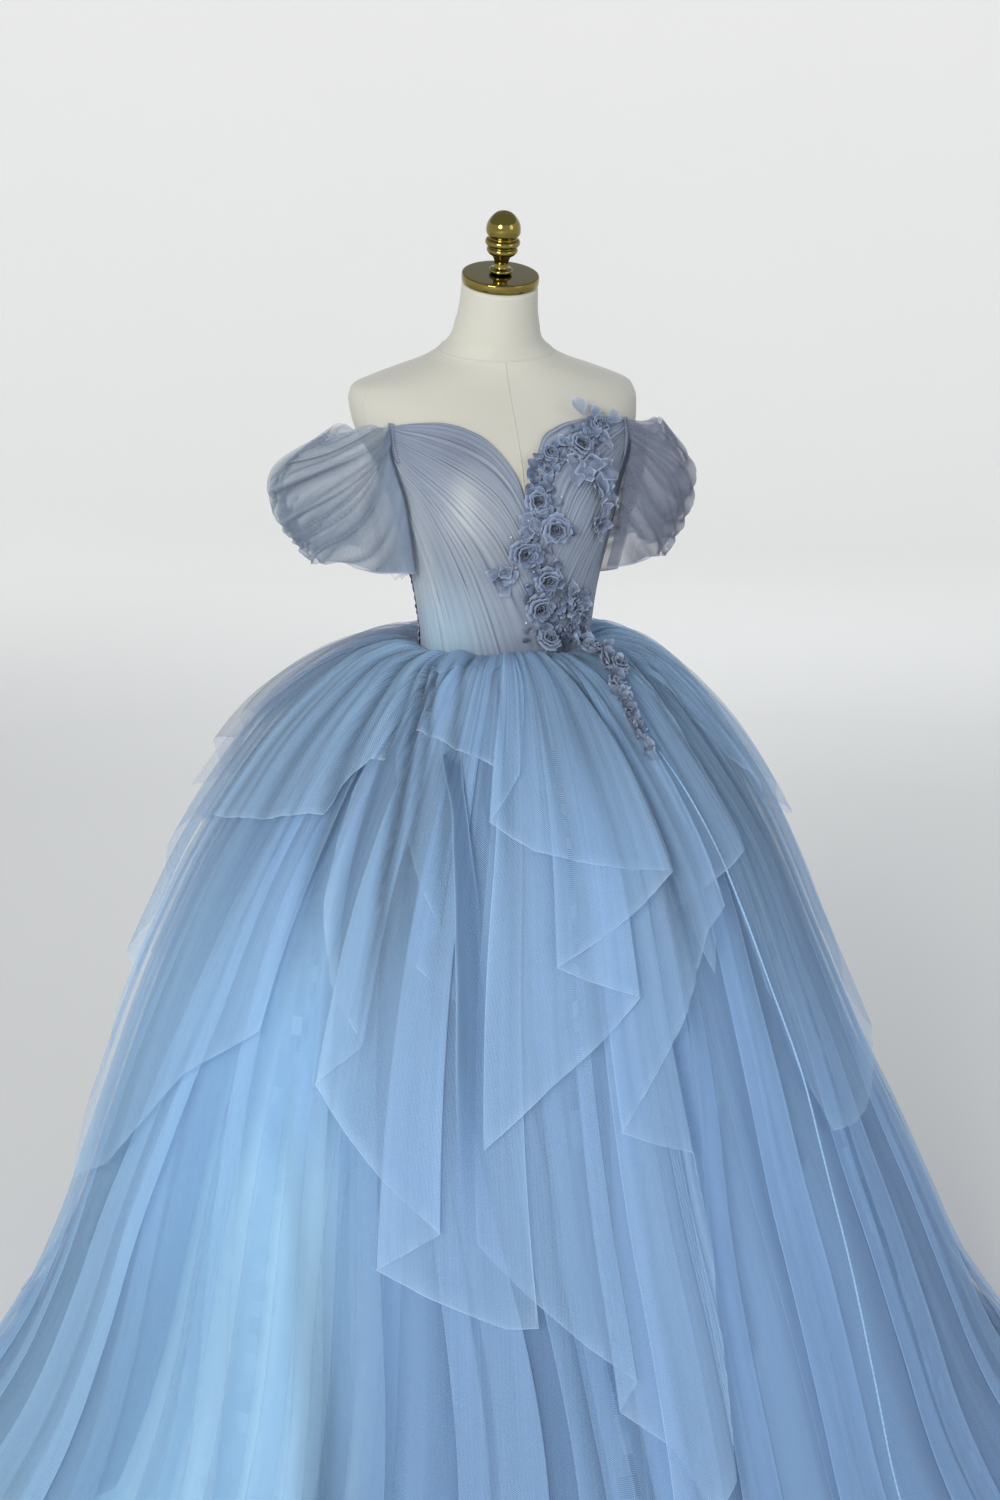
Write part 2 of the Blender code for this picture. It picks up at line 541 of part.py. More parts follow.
def degrees_for(width, radius):
    return math.degrees(width / radius)


def bodice():
    gap = degrees_for(SEAM_GAP, 0.13)
    seam0 = angle_at(WAIST_Z, FRONT_SEAM_X)

    def front_seam(v):
        return seam0 * (1 - v) ** 1.0

    bodice_panel("bodice_front_left", -1, lambda v: -SIDE_SEAM + gap, lambda v: front_seam(v) - 1.6 * gap,
                 front_pleat, 16, 8, 0.8)
    bodice_panel("bodice_front_right", 1, lambda v: front_seam(v) + 1.6 * gap, lambda v: SIDE_SEAM - gap,
                 front_pleat, 15, 8, 0.8)
    half = degrees_for(ZIP_GAP, 0.09)
    bodice_panel("bodice_back_left", -1, lambda v: -180 + half, lambda v: -SIDE_SEAM - gap, back_pleat, 8, 8)
    bodice_panel("bodice_back_right", 1, lambda v: SIDE_SEAM + gap, lambda v: 180 - half, back_pleat, 8, 8)


# ------------------------------------------------------------------ sleeves
def clear_of_form(p, room):
    """Moves a point out sideways until it is room away from the form's section at its height."""
    if not FORM[0][0] < p.z < FORM[-1][0]:
        return p
    half, front, back, mid, sq = (read(FORM, FORM_COLS, "z", c, p.z) for c in FORM_COLS[1:6])
    dy = p.y - mid
    reach = (mid - front) if dy < 0 else (back - mid)
    val = ((abs(p.x) / half) ** sq + (abs(dy) / reach) ** sq) ** (1 / sq)
    d = math.hypot(p.x, dy)
    if d * (1 - 1 / val) >= room:
        return p
    k = (d / val + room) / d
    return Vector((p.x * k, mid + dy * k, p.z))


def sleeve_point(side, turn, v, off=0.0):
    """turn 0 is the outer side, 90 the front, 180 the body side, 270 the back."""
    z_out, z_in, x_out, x_in, yf, yb, ym = (read(SLEEVE, SLEEVE_COLS, "v", c, v) for c in SLEEVE_COLS[1:])
    a = math.radians(turn)
    xc = 0.5 * (x_out + x_in)
    reach = SLEEVE_REACH[side]
    cx, sy = math.cos(a), math.sin(a)
    x = xc + (xc - x_in) * cx
    if cx > 0:
        x = xc + (x_out * reach + (1 - reach) * 0.215 - xc) * cx
    y = ym - (ym - yf) * sy if sy > 0 else ym + (yb - ym) * -sy
    z = z_in + (z_out - z_in) * smooth01(0.62 + 0.5 * cx + 0.42 * abs(sy))
    z += SLEEVE_RISE * math.exp(-((turn - 96.0) / 30.0) ** 2) * (1 - v) ** 2
    n = Vector((cx / max(0.5 * (x_out - x_in), 0.02), -sy / max(0.5 * (yb - yf), 0.02), 0)).normalized()
    p = Vector((x, y, z)) + n * off
    for mid, ang, top, drop in GATHERS:
        pull = math.exp(-((turn - mid) / 26.0) ** 2) * max(1 - v, 0.0) ** 1.3
        p = p.lerp(form_off(top - drop * v, ang, 0.0100 + off), 0.92 * pull)
    p = clear_of_form(p, SLEEVE_ROOM + SLEEVE_WALL + off)
    return Vector((side * p.x, p.y, p.z))


def sleeve_ridge(turn, v):
    """Pleats that fan out from the gathers at the front and back of the bodice (0 to 1)."""
    d = abs((turn + 180.0) % 360.0 - 180.0)          # 0 outer, 180 body side
    spread = smooth01(1 - d / 165.0)
    return spread * (0.5 + 0.5 * math.cos(2 * math.pi * SLEEVE_RIDGES * (v - 0.5) * (0.45 + 0.2 * spread)))


def sleeve(name, side):
    outer, inner = [], []
    for i in range(18):
        turn = 360.0 * i / 18
        oc, ic = [], []
        for j in range(9):
            v = j / 8
            lift = -SLEEVE_RIDGE * sleeve_ridge(turn, v) * min(1, 6 * v, 6 * (1 - v) + 0.2)
            oc.append(sleeve_point(side, turn, v, lift))
            ic.append(sleeve_point(side, turn, v, lift - SLEEVE_WALL))
        outer.append(oc)
        inner.append(ic)
    return wall(name, outer, inner, BODICE, closed=True)


# ------------------------------------------------------------------ skirt, lining, overlays
def shifted(p, az, sideways):
    a = math.radians(az)
    return p + Vector((math.cos(a), math.sin(a), 0)) * sideways


def skirt_gore(k):
    a0 = -180.0 + 360.0 / GORES * k
    outer, inner = [], []
    for i in range(GORE_COLUMNS + 1):
        az = a0 + 360.0 / GORES * i / GORE_COLUMNS
        side = SEAM_GAP if i == 0 else -SEAM_GAP if i == GORE_COLUMNS else 0.0
        outer.append([shifted(skirt_point(az, s), az, side) for s in LEVELS])
        inner.append([shifted(skirt_point(az, s, -SKIRT_WALL), az, side) for s in LEVELS])
    wall("skirt_gore_%d" % (k + 1), outer, inner, TULLE)


def lining_point(az, s, off=0.0):
    r, z, dx = skirt_base(az, s)
    inset = read(LINING, LINING_COLS, "s", "inset", s)
    drop = read(LINING, LINING_COLS, "s", "drop", s)
    nr, nz = skirt_normal(s)
    ripple = 0.006 * smooth01(s / 0.3) * math.cos(math.radians(az * 6))
    a = math.radians(az)
    rr = r - inset + ripple + off * nr
    return Vector((dx + rr * math.sin(a), -rr * math.cos(a), z - drop + off * nz))


def lining_panel(name, a0, a1):
    levels = (0.0, 0.06, 0.13, 0.22, 0.50, 1.0)
    outer, inner = [], []
    n = 13
    for i in range(n + 1):
        az = a0 + (a1 - a0) * i / n
        side = SEAM_GAP if i == 0 else -SEAM_GAP if i == n else 0.0
        outer.append([shifted(lining_point(az, s), az, side) for s in levels])
        inner.append([shifted(lining_point(az, s, -LINING_WALL), az, side) for s in levels])
    wall(name, outer, inner, LINED)


def overlay(name, waist_mm, rows):
    cols = OVERLAY_COLS
    low = min(r[cols.index("s_hem")] for r in rows)
    fixed = [s for s in LEVELS if s < low - 0.02]
    tail = 2 + int((max(r[cols.index("s_hem")] for r in rows) - low) / 0.19)
    steps = []
    for a, b in zip(rows, rows[1:]):
        n = max(1, int(round(abs(b[1] - a[1]) / 9.5)))
        steps += [tuple(a[k] + (b[k] - a[k]) * i / n for k in range(4)) for i in range(n)]
    steps.append(rows[-1])
    outer, inner = [], []
    for az0, az1, s1, lift in steps:
        ss = fixed + [fixed[-1] + (s1 - fixed[-1]) * (k + 1) / tail for k in range(tail)]
        oc, ic = [], []
        for s in ss:
            az = az0 + (az1 - az0) * (s / s1) ** 1.3
            h = waist_mm / 1000 + (lift - waist_mm / 1000) * smooth01(s / 0.2)
            oc.append(skirt_point(az, s, h, folds=False))
            ic.append(skirt_point(az, s, h - OVERLAY_WALL, folds=False))
        outer.append(oc)
        inner.append(ic)
    wall(name, outer, inner, TULLE)


# ------------------------------------------------------------------ flowers
def blossom(name, centre, normal, radius, height, petals, spin):
    """A low lobed flower head that stands on a flat back."""
    n = normal.normalized()
    u = n.cross(Vector((0.0, 0.0, 1.0)))
    u.normalize()
    w = n.cross(u)
    count = 2 * petals
    rings = []
    for h, r, lobe in ((0.0, 0.62, 0.04), (0.50, 1.0, 0.10), (1.0, 0.50, 0.06)):
        ring = []
        for i in range(count):
            a = 2 * math.pi * i / count + spin
            rr = radius * r * (1 + (lobe if i % 2 else -lobe))
            ring.append(centre + n * (height * h) + (u * math.cos(a) + w * math.sin(a)) * rr)
        rings.append(ring)
    stack(name, rings, PETAL)


def flowers():
    for k, (name, (x, z, radius, height, petals)) in enumerate(FLOWERS.items()):
        ang = angle_at(z, x)
        base = form_off(z, ang, BODICE_GAP + BODICE_WALL + BODICE_PLEAT + 0.0010)
        nrm = form_off(z, ang, 0.01) - form_off(z, ang, 0.0)
        blossom(name, base, nrm, radius * 0.94, height, petals, 0.4 * k)
    for k, (name, (az, s, radius, height, petals)) in enumerate(TRAIL.items()):
        h = 0.0065 + (0.0100 - 0.0065) * smooth01(s / 0.2) + 0.0046
        p = skirt_point(az, s, h, folds=False)
        nr, nz = skirt_normal(s)
        a = math.radians(az)
        blossom(name, p, Vector((nr * math.sin(a), -nr * math.cos(a), nz)), radius * 0.94, height, petals, 0.7 * k)
    az, r, z, up, radius, height, petals = WAIST_ROSE
    a = math.radians(az)
    out = Vector((math.sin(a), -math.cos(a), 0.0))
    blossom("rose_10", out * r + Vector((0, 0, z)), out + Vector((0, 0, up)), radius * 0.94, height, petals, 0.3)


# ------------------------------------------------------------------ zip
def box_solid(name, lo, hi, frame, mat):
    o, ex, ey, ez = frame
    verts = [o + ex * x + ey * y + ez * z for x in (lo[0], hi[0]) for y in (lo[1], hi[1]) for z in (lo[2], hi[2])]
    faces = [(0, 1, 3, 2), (4, 6, 7, 5), (0, 4, 5, 1), (2, 3, 7, 6), (0, 2, 6, 4), (1, 5, 7, 3)]
    return add_object(name, verts, faces, mat, smooth=False)


def zip_fastener():
    outer, inner = [], []
    for i in range(5):
        x = -ZIP_TAPE_HALF + 2 * ZIP_TAPE_HALF * i / 4
        oc, ic = [], []
        for j in range(9):
            z = ZIP_Z[0] + (ZIP_Z[1] - ZIP_Z[0]) * j / 8
            ang = 180.0 - math.degrees(math.asin(min(1, abs(x) / 0.118))) if x >= 0 else \
                -180.0 + math.degrees(math.asin(min(1, abs(x) / 0.118)))
            oc.append(form_off(z, ang, 0.0023))
            ic.append(form_off(z, ang, 0.0013))
        outer.append(oc)
        inner.append(ic)
    wall("zip_tape", outer, inner, ZIPS)
    # slider: a plate with an arched bridge, outside the two back panels
    y0 = form_off(SLIDER_Z, 180.0, BODICE_GAP + BODICE_WALL).y + 0.0016
    o = Vector((0.0, y0, SLIDER_Z))
    w, t, h = SLIDER["wide"] / 2, SLIDER["thick"], SLIDER["tall"] / 2
    bw, bt, rise, bh = BRIDGE["wide"] / 2, BRIDGE["thick"], BRIDGE["rise"], BRIDGE["tall"] / 2
    # the bridge is thinner than the plate, so plate and bridge are joined by a union
    plate = box_solid("zip_slider", (-w, 0.0, -h), (w, t, h), (o, Vector((1, 0, 0)), Vector((0, 1, 0)), Vector((0, 0, 1))),
                      ZIPS)
    loop_out = [(-bh, t - 0.0004), (-bh, t + rise * 0.7), (-bh + 0.0010, t + rise), (bh - 0.0010, t + rise),
                (bh, t + rise * 0.7), (bh, t - 0.0004)]
    loop_in = [(-bh + bt, t - 0.0004), (-bh + bt, t + rise * 0.66), (-bh + 0.0014, t + rise - bt),
               (bh - 0.0014, t + rise - bt), (bh - bt, t + rise * 0.66), (bh - bt, t - 0.0004)]
    verts = []
    for x in (-bw, bw):
        verts += [o + Vector((x, y, z)) for z, y in loop_out]
        verts += [o + Vector((x, y, z)) for z, y in loop_in]
    n = len(loop_out)
    faces = []
    for i in range(n - 1):
        faces.append((i, i + 1, n + i + 1, n + i))
        faces.append((2 * n + i, 3 * n + i, 3 * n + i + 1, 2 * n + i + 1))
        faces.append((i, 2 * n + i, 2 * n + i + 1, i + 1))
        faces.append((n + i, n + i + 1, 3 * n + i + 1, 3 * n + i))
    for i in (0, n - 1):
        faces.append((i, n + i, 3 * n + i, 2 * n + i))
    bridge = add_object("bridge_tool", verts, faces, ZIPS, smooth=False)
    mod = plate.modifiers.new("bridge", "BOOLEAN")
    mod.operation = "UNION"
    mod.solver = "EXACT"
    mod.object = bridge
    bridge.hide_render = True
    bridge.display_type = "WIRE"
    # pull: a tab with an eye; its top bar passes under the bridge and is the hinge axis
    axis = Vector((0.0, o.y + t + rise * 0.45, o.z))
    pw, pl, pt = PULL["wide"] / 2, PULL["long"], PULL["thick"] / 2
    ew, bar = PULL["eye_wide"] / 2, PULL["bar"] / 2
    top, eye0, eye1 = bar, -bar, -bar - PULL["eye_long"]
    loop = [(-pw, top), (pw, top), (pw, eye1 - 0.002), (pw * 0.72, -pl + 0.002), (pw * 0.35, -pl), (-pw * 0.35, -pl),
            (-pw * 0.72, -pl + 0.002), (-pw, eye1 - 0.002)]
    hole = [(-ew, eye0), (ew, eye0), (ew, eye1), (-ew, eye1)]
    verts = [axis + Vector((x, y, z)) for y in (-pt, pt) for x, z in loop + hole]
    m = len(loop) + 4
    a, b, c, d, e, f, g, hh = range(8)
    h0, h1, h2, h3 = 8, 9, 10, 11
    front = [(a, b, h1, h0), (b, c, h2, h1), (c, hh, h3, h2), (hh, a, h0, h3), (c, d, e, f, g, hh)]
    faces = [tuple(q) for q in front] + [tuple(m + i for i in reversed(q)) for q in front]
    for i in range(8):
        j = (i + 1) % 8
        faces.append((i, m + i, m + j, j))
    for i in range(4):
        j = (i + 1) % 4
        faces.append((8 + i, 8 + j, m + 8 + j, m + 8 + i))
    add_object("zip_pull", verts, faces, ZIPS, smooth=False, origin=axis)


# ------------------------------------------------------------------ build
form_torso()
form_cap()
form_finial()
form_stand()
bodice()
sleeve("sleeve_left", -1)
sleeve("sleeve_right", 1)
for k in range(GORES):
    skirt_gore(k)
lining_panel("skirt_lining_left", -180.0, 0.0)
lining_panel("skirt_lining_right", 0.0, 180.0)
for name, (waist_mm, rows) in OVERLAYS.items():
    overlay(name, waist_mm, rows)
flowers()
zip_fastener()
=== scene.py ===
import math

import bpy
import numpy as np
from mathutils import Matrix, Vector


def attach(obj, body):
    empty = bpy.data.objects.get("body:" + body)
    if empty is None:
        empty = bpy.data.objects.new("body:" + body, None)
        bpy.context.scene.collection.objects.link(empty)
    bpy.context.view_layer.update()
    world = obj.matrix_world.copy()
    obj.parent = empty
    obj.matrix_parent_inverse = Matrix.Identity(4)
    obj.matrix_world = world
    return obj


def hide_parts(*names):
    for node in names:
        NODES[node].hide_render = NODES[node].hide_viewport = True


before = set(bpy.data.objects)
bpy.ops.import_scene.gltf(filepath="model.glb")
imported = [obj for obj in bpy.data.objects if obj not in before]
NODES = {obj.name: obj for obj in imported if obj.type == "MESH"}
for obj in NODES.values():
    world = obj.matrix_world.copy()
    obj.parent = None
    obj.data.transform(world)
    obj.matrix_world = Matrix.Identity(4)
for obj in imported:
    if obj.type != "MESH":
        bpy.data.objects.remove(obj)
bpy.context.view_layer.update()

# ------------------------------------------------------------------ the gown's own sizes
WAIST_Z = 1.100
LEAN = 0.30
CAP_RADIUS = 0.0512
CAP_RIM = 0.0125
BASE_RADIUS = 0.185
BASE_THICK = 0.012
POLE_RADIUS = 0.0125
BODICE_OFF = 0.0044        # bodice's ground over the form

# height, half width, front and back reach, Y of the widest point, squareness, forward tilt
FORM = [
    (0.880, 0.1180, -0.0760, 0.0860, 0.004, 2.10, 0.00),
    (0.890, 0.1370, -0.0900, 0.1020, 0.004, 2.10, 0.00),
    (0.930, 0.1500, -0.0990, 0.1120, 0.006, 2.10, 0.00),
    (0.980, 0.1480, -0.0990, 0.1110, 0.006, 2.10, 0.00),
    (1.040, 0.1270, -0.0920, 0.0970, 0.004, 2.10, 0.00),
    (1.100, 0.1125, -0.0840, 0.0830, 0.000, 2.10, 0.00),
    (1.150, 0.1160, -0.0890, 0.0860, 0.000, 2.10, 0.00),
    (1.200, 0.1240, -0.0985, 0.0920, 0.000, 2.12, 0.00),
    (1.240, 0.1330, -0.1080, 0.0970, 0.000, 2.15, 0.00),
    (1.280, 0.1430, -0.1150, 0.1020, 0.003, 2.18, 0.00),
    (1.320, 0.1540, -0.1110, 0.1090, 0.018, 2.22, 0.00),
    (1.355, 0.1730, -0.0960, 0.1190, 0.042, 2.28, 0.00),
    (1.385, 0.1890, -0.0740, 0.1290, 0.060, 2.36, 0.00),
    (1.412, 0.1955, -0.0510, 0.1360, 0.071, 2.42, 0.00),
    (1.436, 0.1955, -0.0300, 0.1380, 0.078, 2.40, 0.00),
    (1.449, 0.1875, -0.0190, 0.1350, 0.082, 2.30, 0.00),
    (1.460, 0.1620, -0.0110, 0.1300, 0.081, 2.20, 0.00),
    (1.470, 0.1340, -0.0060, 0.1250, 0.078, 2.10, 0.02),
    (1.482, 0.0990, -0.0020, 0.1190, 0.070, 2.00, 0.06),
    (1.502, 0.0680, -0.0030, 0.1090, 0.058, 2.00, 0.14),
    (1.532, 0.0556, -0.0090, 0.0960, 0.045, 2.00, 0.22),
    (1.580, 0.0497, -0.0210, 0.0790, 0.030, 2.00, 0.30),
]
CUP = {"x": 0.072, "z": 1.285, "wide": 0.045, "tall": 0.060, "deep": 0.017}

# distance along the profile, radius, height, sideways shift of the ring's centre
SKIRT = [
    (0.00, 0.1190, 1.0980, 0.000), (0.03, 0.1490, 1.1060, 0.000), (0.06, 0.1830, 1.0980, 0.000),
    (0.11, 0.2320, 1.0660, 0.000), (0.17, 0.2970, 1.0000, -0.004), (0.24, 0.3620, 0.9100, -0.008),
    (0.31, 0.4100, 0.8250, -0.014), (0.40, 0.4550, 0.7250, -0.018), (0.50, 0.5050, 0.6100, -0.018),
    (0.60, 0.5520, 0.4950, -0.014), (0.70, 0.6020, 0.3800, -0.006), (0.80, 0.6520, 0.2600, 0.000),
    (0.90, 0.7140, 0.1300, 0.000), (1.00, 0.7980, 0.0060, 0.000),
]
# azimuth of the ridge, half width, depth of the troughs beside it at the hem
FOLDS = [
    (-172, 10.0, 0.030), (-153, 8.5, 0.026), (-136, 8.0, 0.034), (-119, 9.0, 0.024),
    (-101, 8.5, 0.030), (-84, 8.0, 0.022), (-68, 8.0, 0.030), (-52, 8.5, 0.024),
    (-35, 8.5, 0.030), (-19, 7.5, 0.034), (-5, 6.5, 0.024), (8, 7.0, 0.032),
    (22, 7.5, 0.028), (37, 7.5, 0.034), (52, 8.0, 0.022), (69, 8.5, 0.030),
    (86, 8.0, 0.026), (103, 9.0, 0.034), (121, 8.5, 0.024), (138, 8.5, 0.030),
    (156, 9.0, 0.028),
]
# distance along the profile, how far the lining lies inside the skirt and below it
LINING = [(0.0, 0.0000, 0.0060), (0.03, 0.0020, 0.0120), (0.06, 0.0060, 0.0150),
          (0.11, 0.0160, 0.0160), (0.17, 0.0300, 0.0160), (0.24, 0.0430, 0.0140),
          (0.40, 0.0560, 0.0100), (0.70, 0.0600, 0.0000), (1.0, 0.0620, -0.0080)]
# top edge of the bodice: distance from the centre and height on the front, then angle and height
NECK = [(-0.155, 1.4010), (-0.121, 1.4050), (-0.089, 1.4045), (-0.0645, 1.3975), (-0.0385, 1.3820),
        (-0.021, 1.3610), (-0.008, 1.3380), (0.000, 1.3130), (0.010, 1.3380), (0.019, 1.3600),
        (0.030, 1.3820), (0.052, 1.3970), (0.085, 1.4050), (0.120, 1.4070), (0.155, 1.4040)]
ARMHOLE = [(50.0, 1.4010), (57.0, 1.3860), (66.0, 1.3600), (78.0, 1.3440), (92.0, 1.3380),
           (110.0, 1.3420), (128.0, 1.3400), (145.0, 1.3280), (165.0, 1.3140), (180.0, 1.3080)]
SIDE_SEAM = 92.0
FRONT_SEAM_X = 0.034
# share of the sleeve's length, heights and X of the outer and of the body side, Y of the front, back, widest
SLEEVE = [
    (0.00, 1.393, 1.345, 0.219, 0.1690, -0.050, 0.162, 0.058),
    (0.10, 1.379, 1.338, 0.236, 0.1675, -0.064, 0.174, 0.058),
    (0.22, 1.362, 1.328, 0.262, 0.1650, -0.074, 0.182, 0.058),
    (0.36, 1.340, 1.312, 0.289, 0.1615, -0.080, 0.186, 0.058),
    (0.50, 1.309, 1.290, 0.300, 0.1570, -0.080, 0.184, 0.058),
    (0.64, 1.282, 1.264, 0.294, 0.1510, -0.074, 0.176, 0.058),
    (0.78, 1.256, 1.236, 0.280, 0.1445, -0.062, 0.160, 0.056),
    (0.90, 1.236, 1.208, 0.264, 0.1385, -0.044, 0.142, 0.052),
    (1.00, 1.221, 1.184, 0.254, 0.1340, -0.028, 0.126, 0.050),
]
# turn around the arm, angle on the form, top, drop of the line where a sleeve is gathered to the bodice
GATHERS = [(126.0, 52.5, 1.401, 0.052), (232.0, 122.0, 1.356, 0.040)]
SLEEVE_ROOM = 0.0074
SLEEVE_REACH = {-1: 1.10, 1: 0.57}
SLEEVE_RISE = 0.020
# flowers on the bodice: across, up, radius, height
FLOWERS = {
    "rose_01": (0.1120, 1.3960, 0.0130, 0.0100), "rose_02": (0.0795, 1.3730, 0.0170, 0.0140),
    "rose_03": (0.0370, 1.3660, 0.0110, 0.0100), "rose_04": (0.0310, 1.3465, 0.0075, 0.0080),
    "rose_05": (0.0160, 1.3110, 0.0150, 0.0130), "rose_06": (0.0385, 1.2790, 0.0180, 0.0150),
    "rose_07": (-0.0025, 1.2490, 0.0185, 0.0150), "rose_08": (0.0310, 1.2105, 0.0170, 0.0140),
    "rose_09": (0.0225, 1.1710, 0.0180, 0.0150),
    "spray_01": (-0.0260, 1.2165, 0.0165, 0.0080), "spray_02": (0.0985, 1.3210, 0.0190, 0.0090),
    "spray_03": (0.0975, 1.2760, 0.0170, 0.0090), "spray_04": (0.0730, 1.1720, 0.0170, 0.0080),
    "spray_05": (0.0680, 1.1340, 0.0140, 0.0080),
}
# flowers on the skirt: azimuth, place along the profile, radius, height
TRAIL = {
    "rose_11": (37.5, 0.0500, 0.0150, 0.0130), "rose_12": (37.5, 0.0860, 0.0140, 0.0140),
    "petals_01": (30.5, 0.1060, 0.0095, 0.0080), "petals_02": (28.8, 0.1270, 0.0090, 0.0080),
    "petals_03": (28.0, 0.1470, 0.0085, 0.0070), "petals_04": (27.8, 0.1660, 0.0075, 0.0070),
}
WAIST_ROSE = (17.0, 0.1130, 1.1240, 1.05, 0.0145, 0.0130)
# turned finial: distance along its axis, radius
FINIAL = [(0.0000, 0.0105), (0.0015, 0.0140), (0.0035, 0.0158), (0.0060, 0.0150), (0.0080, 0.0105),
          (0.0120, 0.0095), (0.0180, 0.0100), (0.0235, 0.0130), (0.0270, 0.0180), (0.0310, 0.0205),
          (0.0345, 0.0195), (0.0360, 0.0178), (0.0378, 0.0210), (0.0415, 0.0230), (0.0455, 0.0218),
          (0.0480, 0.0182), (0.0500, 0.0192), (0.0530, 0.0218), (0.0590, 0.0227), (0.0660, 0.0215),
          (0.0740, 0.0170), (0.0805, 0.0100), (0.0836, 0.0000)]
ZIP_TAPE_HALF = 0.0060
ZIP_Z = (1.1040, 1.2960)
SLIDER_Z = 1.2900


# ------------------------------------------------------------------ curves and surfaces
def hermite(xs, ys, x):
    """Smooth curve through the table's points, flat outside them."""
    xs, ys, x = np.asarray(xs, float), np.asarray(ys, float), np.asarray(x, float)
    h = np.diff(xs)
    d = np.diff(ys) / h
    m = np.empty_like(ys)
    m[0], m[-1] = d[0], d[-1]
    m[1:-1] = (d[:-1] * h[1:] + d[1:] * h[:-1]) / (h[1:] + h[:-1])
    x = np.clip(x, xs[0], xs[-1])
    i = np.clip(np.searchsorted(xs, x, side="right") - 1, 0, len(xs) - 2)
    t = (x - xs[i]) / h[i]
    return ((2 * t**3 - 3 * t**2 + 1) * ys[i] + (t**3 - 2 * t**2 + t) * h[i] * m[i]
            + (-2 * t**3 + 3 * t**2) * ys[i + 1] + (t**3 - t**2) * h[i] * m[i + 1])


def columns(table, x):
    """Every column of a table after its first, read at x in the first."""
    t = np.array(table, float)
    return [hermite(t[:, 0], t[:, k], x) for k in range(1, t.shape[1])]


def smooth01(x):
    x = np.clip(x, 0.0, 1.0)
    return x * x * (3 - 2 * x)


def vec(*c):
    return np.stack(np.broadcast_arrays(*c), -1)


def unit(v):
    return v / np.maximum(np.linalg.norm(v, axis=-1, keepdims=True), 1e-12)


def form_point(z, angle):
    z, angle = np.broadcast_arrays(np.asarray(z, float), np.asarray(angle, float))
    a = np.radians(angle)
    half, front, back, mid, sq, tilt = columns(FORM, z)
    sx = np.sign(np.sin(a)) * np.abs(np.sin(a)) ** (2 / sq)
    cy = np.sign(np.cos(a)) * np.abs(np.cos(a)) ** (2 / sq)
    x = half * sx
    y = np.where(cy >= 0, mid - (mid - front) * cy, mid - (back - mid) * cy)
    cup = (CUP["deep"] * np.exp(-((np.abs(x) - CUP["x"]) / CUP["wide"]) ** 2)
           * np.exp(-((z - CUP["z"]) / CUP["tall"]) ** 2) * np.sqrt(np.maximum(cy, 0)))
    y = y - cup
    return vec(x, y, z + tilt * (y - mid))


def form_normal(z, angle):
    z, angle = np.broadcast_arrays(np.asarray(z, float), np.asarray(angle, float))
    p = form_point(z, angle)
    du = form_point(z, angle + 0.8) - form_point(z, angle - 0.8)
    dv = form_point(z + 0.003, angle) - form_point(z - 0.003, angle)
    n = unit(np.cross(du, dv))
    flip = (n[..., 0] * p[..., 0] + n[..., 1] * (p[..., 1] - 0.01)) < 0
    return np.where(flip[..., None], -n, n)


def form_off(z, angle, off):
    return form_point(z, angle) + form_normal(z, angle) * np.asarray(off, float)[..., None]


def angle_at(z, x):
    half, sq = columns(FORM, z)[0], columns(FORM, z)[4]
    q = np.minimum(np.abs(x) / half, 1.0) ** (sq / 2)
    return np.sign(x) * np.degrees(np.arcsin(q))


def top_edge(angle):
    angle = np.asarray(angle, float)
    neck, arm = np.array(NECK), np.array(ARMHOLE)
    z = np.full(angle.shape, 1.38)
    for _ in range(12):
        x = form_point(z, angle)[..., 0]
        z = 0.5 * z + 0.5 * hermite(neck[:, 0], neck[:, 1], x)
    w = smooth01((np.abs(angle) - 44.0) / 6.0)
    front = (1 - w) * z + w * hermite(arm[:, 0], arm[:, 1], 50.0)
    return np.where(np.abs(angle) >= 50.0, hermite(arm[:, 0], arm[:, 1], np.abs(angle)), front)


def waist_edge(angle):
    return WAIST_Z + 0.0005 - 0.004 * np.maximum(np.cos(np.radians(angle)), 0.0) ** 2


_a = np.arange(-180, 181, 3.0)
_p = form_off(np.full(_a.shape, WAIST_Z), _a, np.full(_a.shape, 0.0070))
RING_AZ = np.degrees(np.arctan2(_p[:, 0], -_p[:, 1]))
RING_AZ[0], RING_AZ[-1] = -180.0, 180.0
RING_R = np.hypot(_p[:, 0], _p[:, 1])


def skirt_base(az, s):
    r, z, dx = columns(SKIRT, s)
    w = np.where(s < 0.30, smooth01(1 - s / 0.30), 0.0)
    az = (az + 180.0) % 360.0 - 180.0
    r = r * (1 - w * (1 - np.interp(az, RING_AZ, RING_R) / SKIRT[0][1]))
    z = z - 0.004 * np.maximum(np.cos(np.radians(az)), 0.0) ** 2 * np.maximum(1 - s / 0.1, 0.0)
    return r, z, dx


def skirt_normal(s):
    a, b = np.maximum(s - 0.01, 0.0), np.minimum(s + 0.01, 1.0)
    ra, za, _ = columns(SKIRT, a)
    rb, zb, _ = columns(SKIRT, b)
    nr, nz = np.maximum(-(zb - za), 0.0), rb - ra
    m = np.hypot(nr, nz)
    return nr / m, nz / m


def fold_depth(az, s):
    """Depth of the big troughs between the skirt's ridges."""
    az = (az + 180.0) % 360.0 - 180.0
    best, deep, wsum = np.zeros(az.shape), np.zeros(az.shape), np.zeros(az.shape)
    for ridge, half, depth in FOLDS:
        d = np.abs((az - ridge + 180.0) % 360.0 - 180.0)
        w = np.exp(-(d / 14.0) ** 2)
        deep += w * depth
        wsum += w
        best = np.maximum(best, np.where(d < half, np.cos(0.5 * np.pi * d / half) ** 2, 0))
    return deep / wsum * smooth01(s / 0.25) * (0.35 + 0.65 * s) * (1 - best)


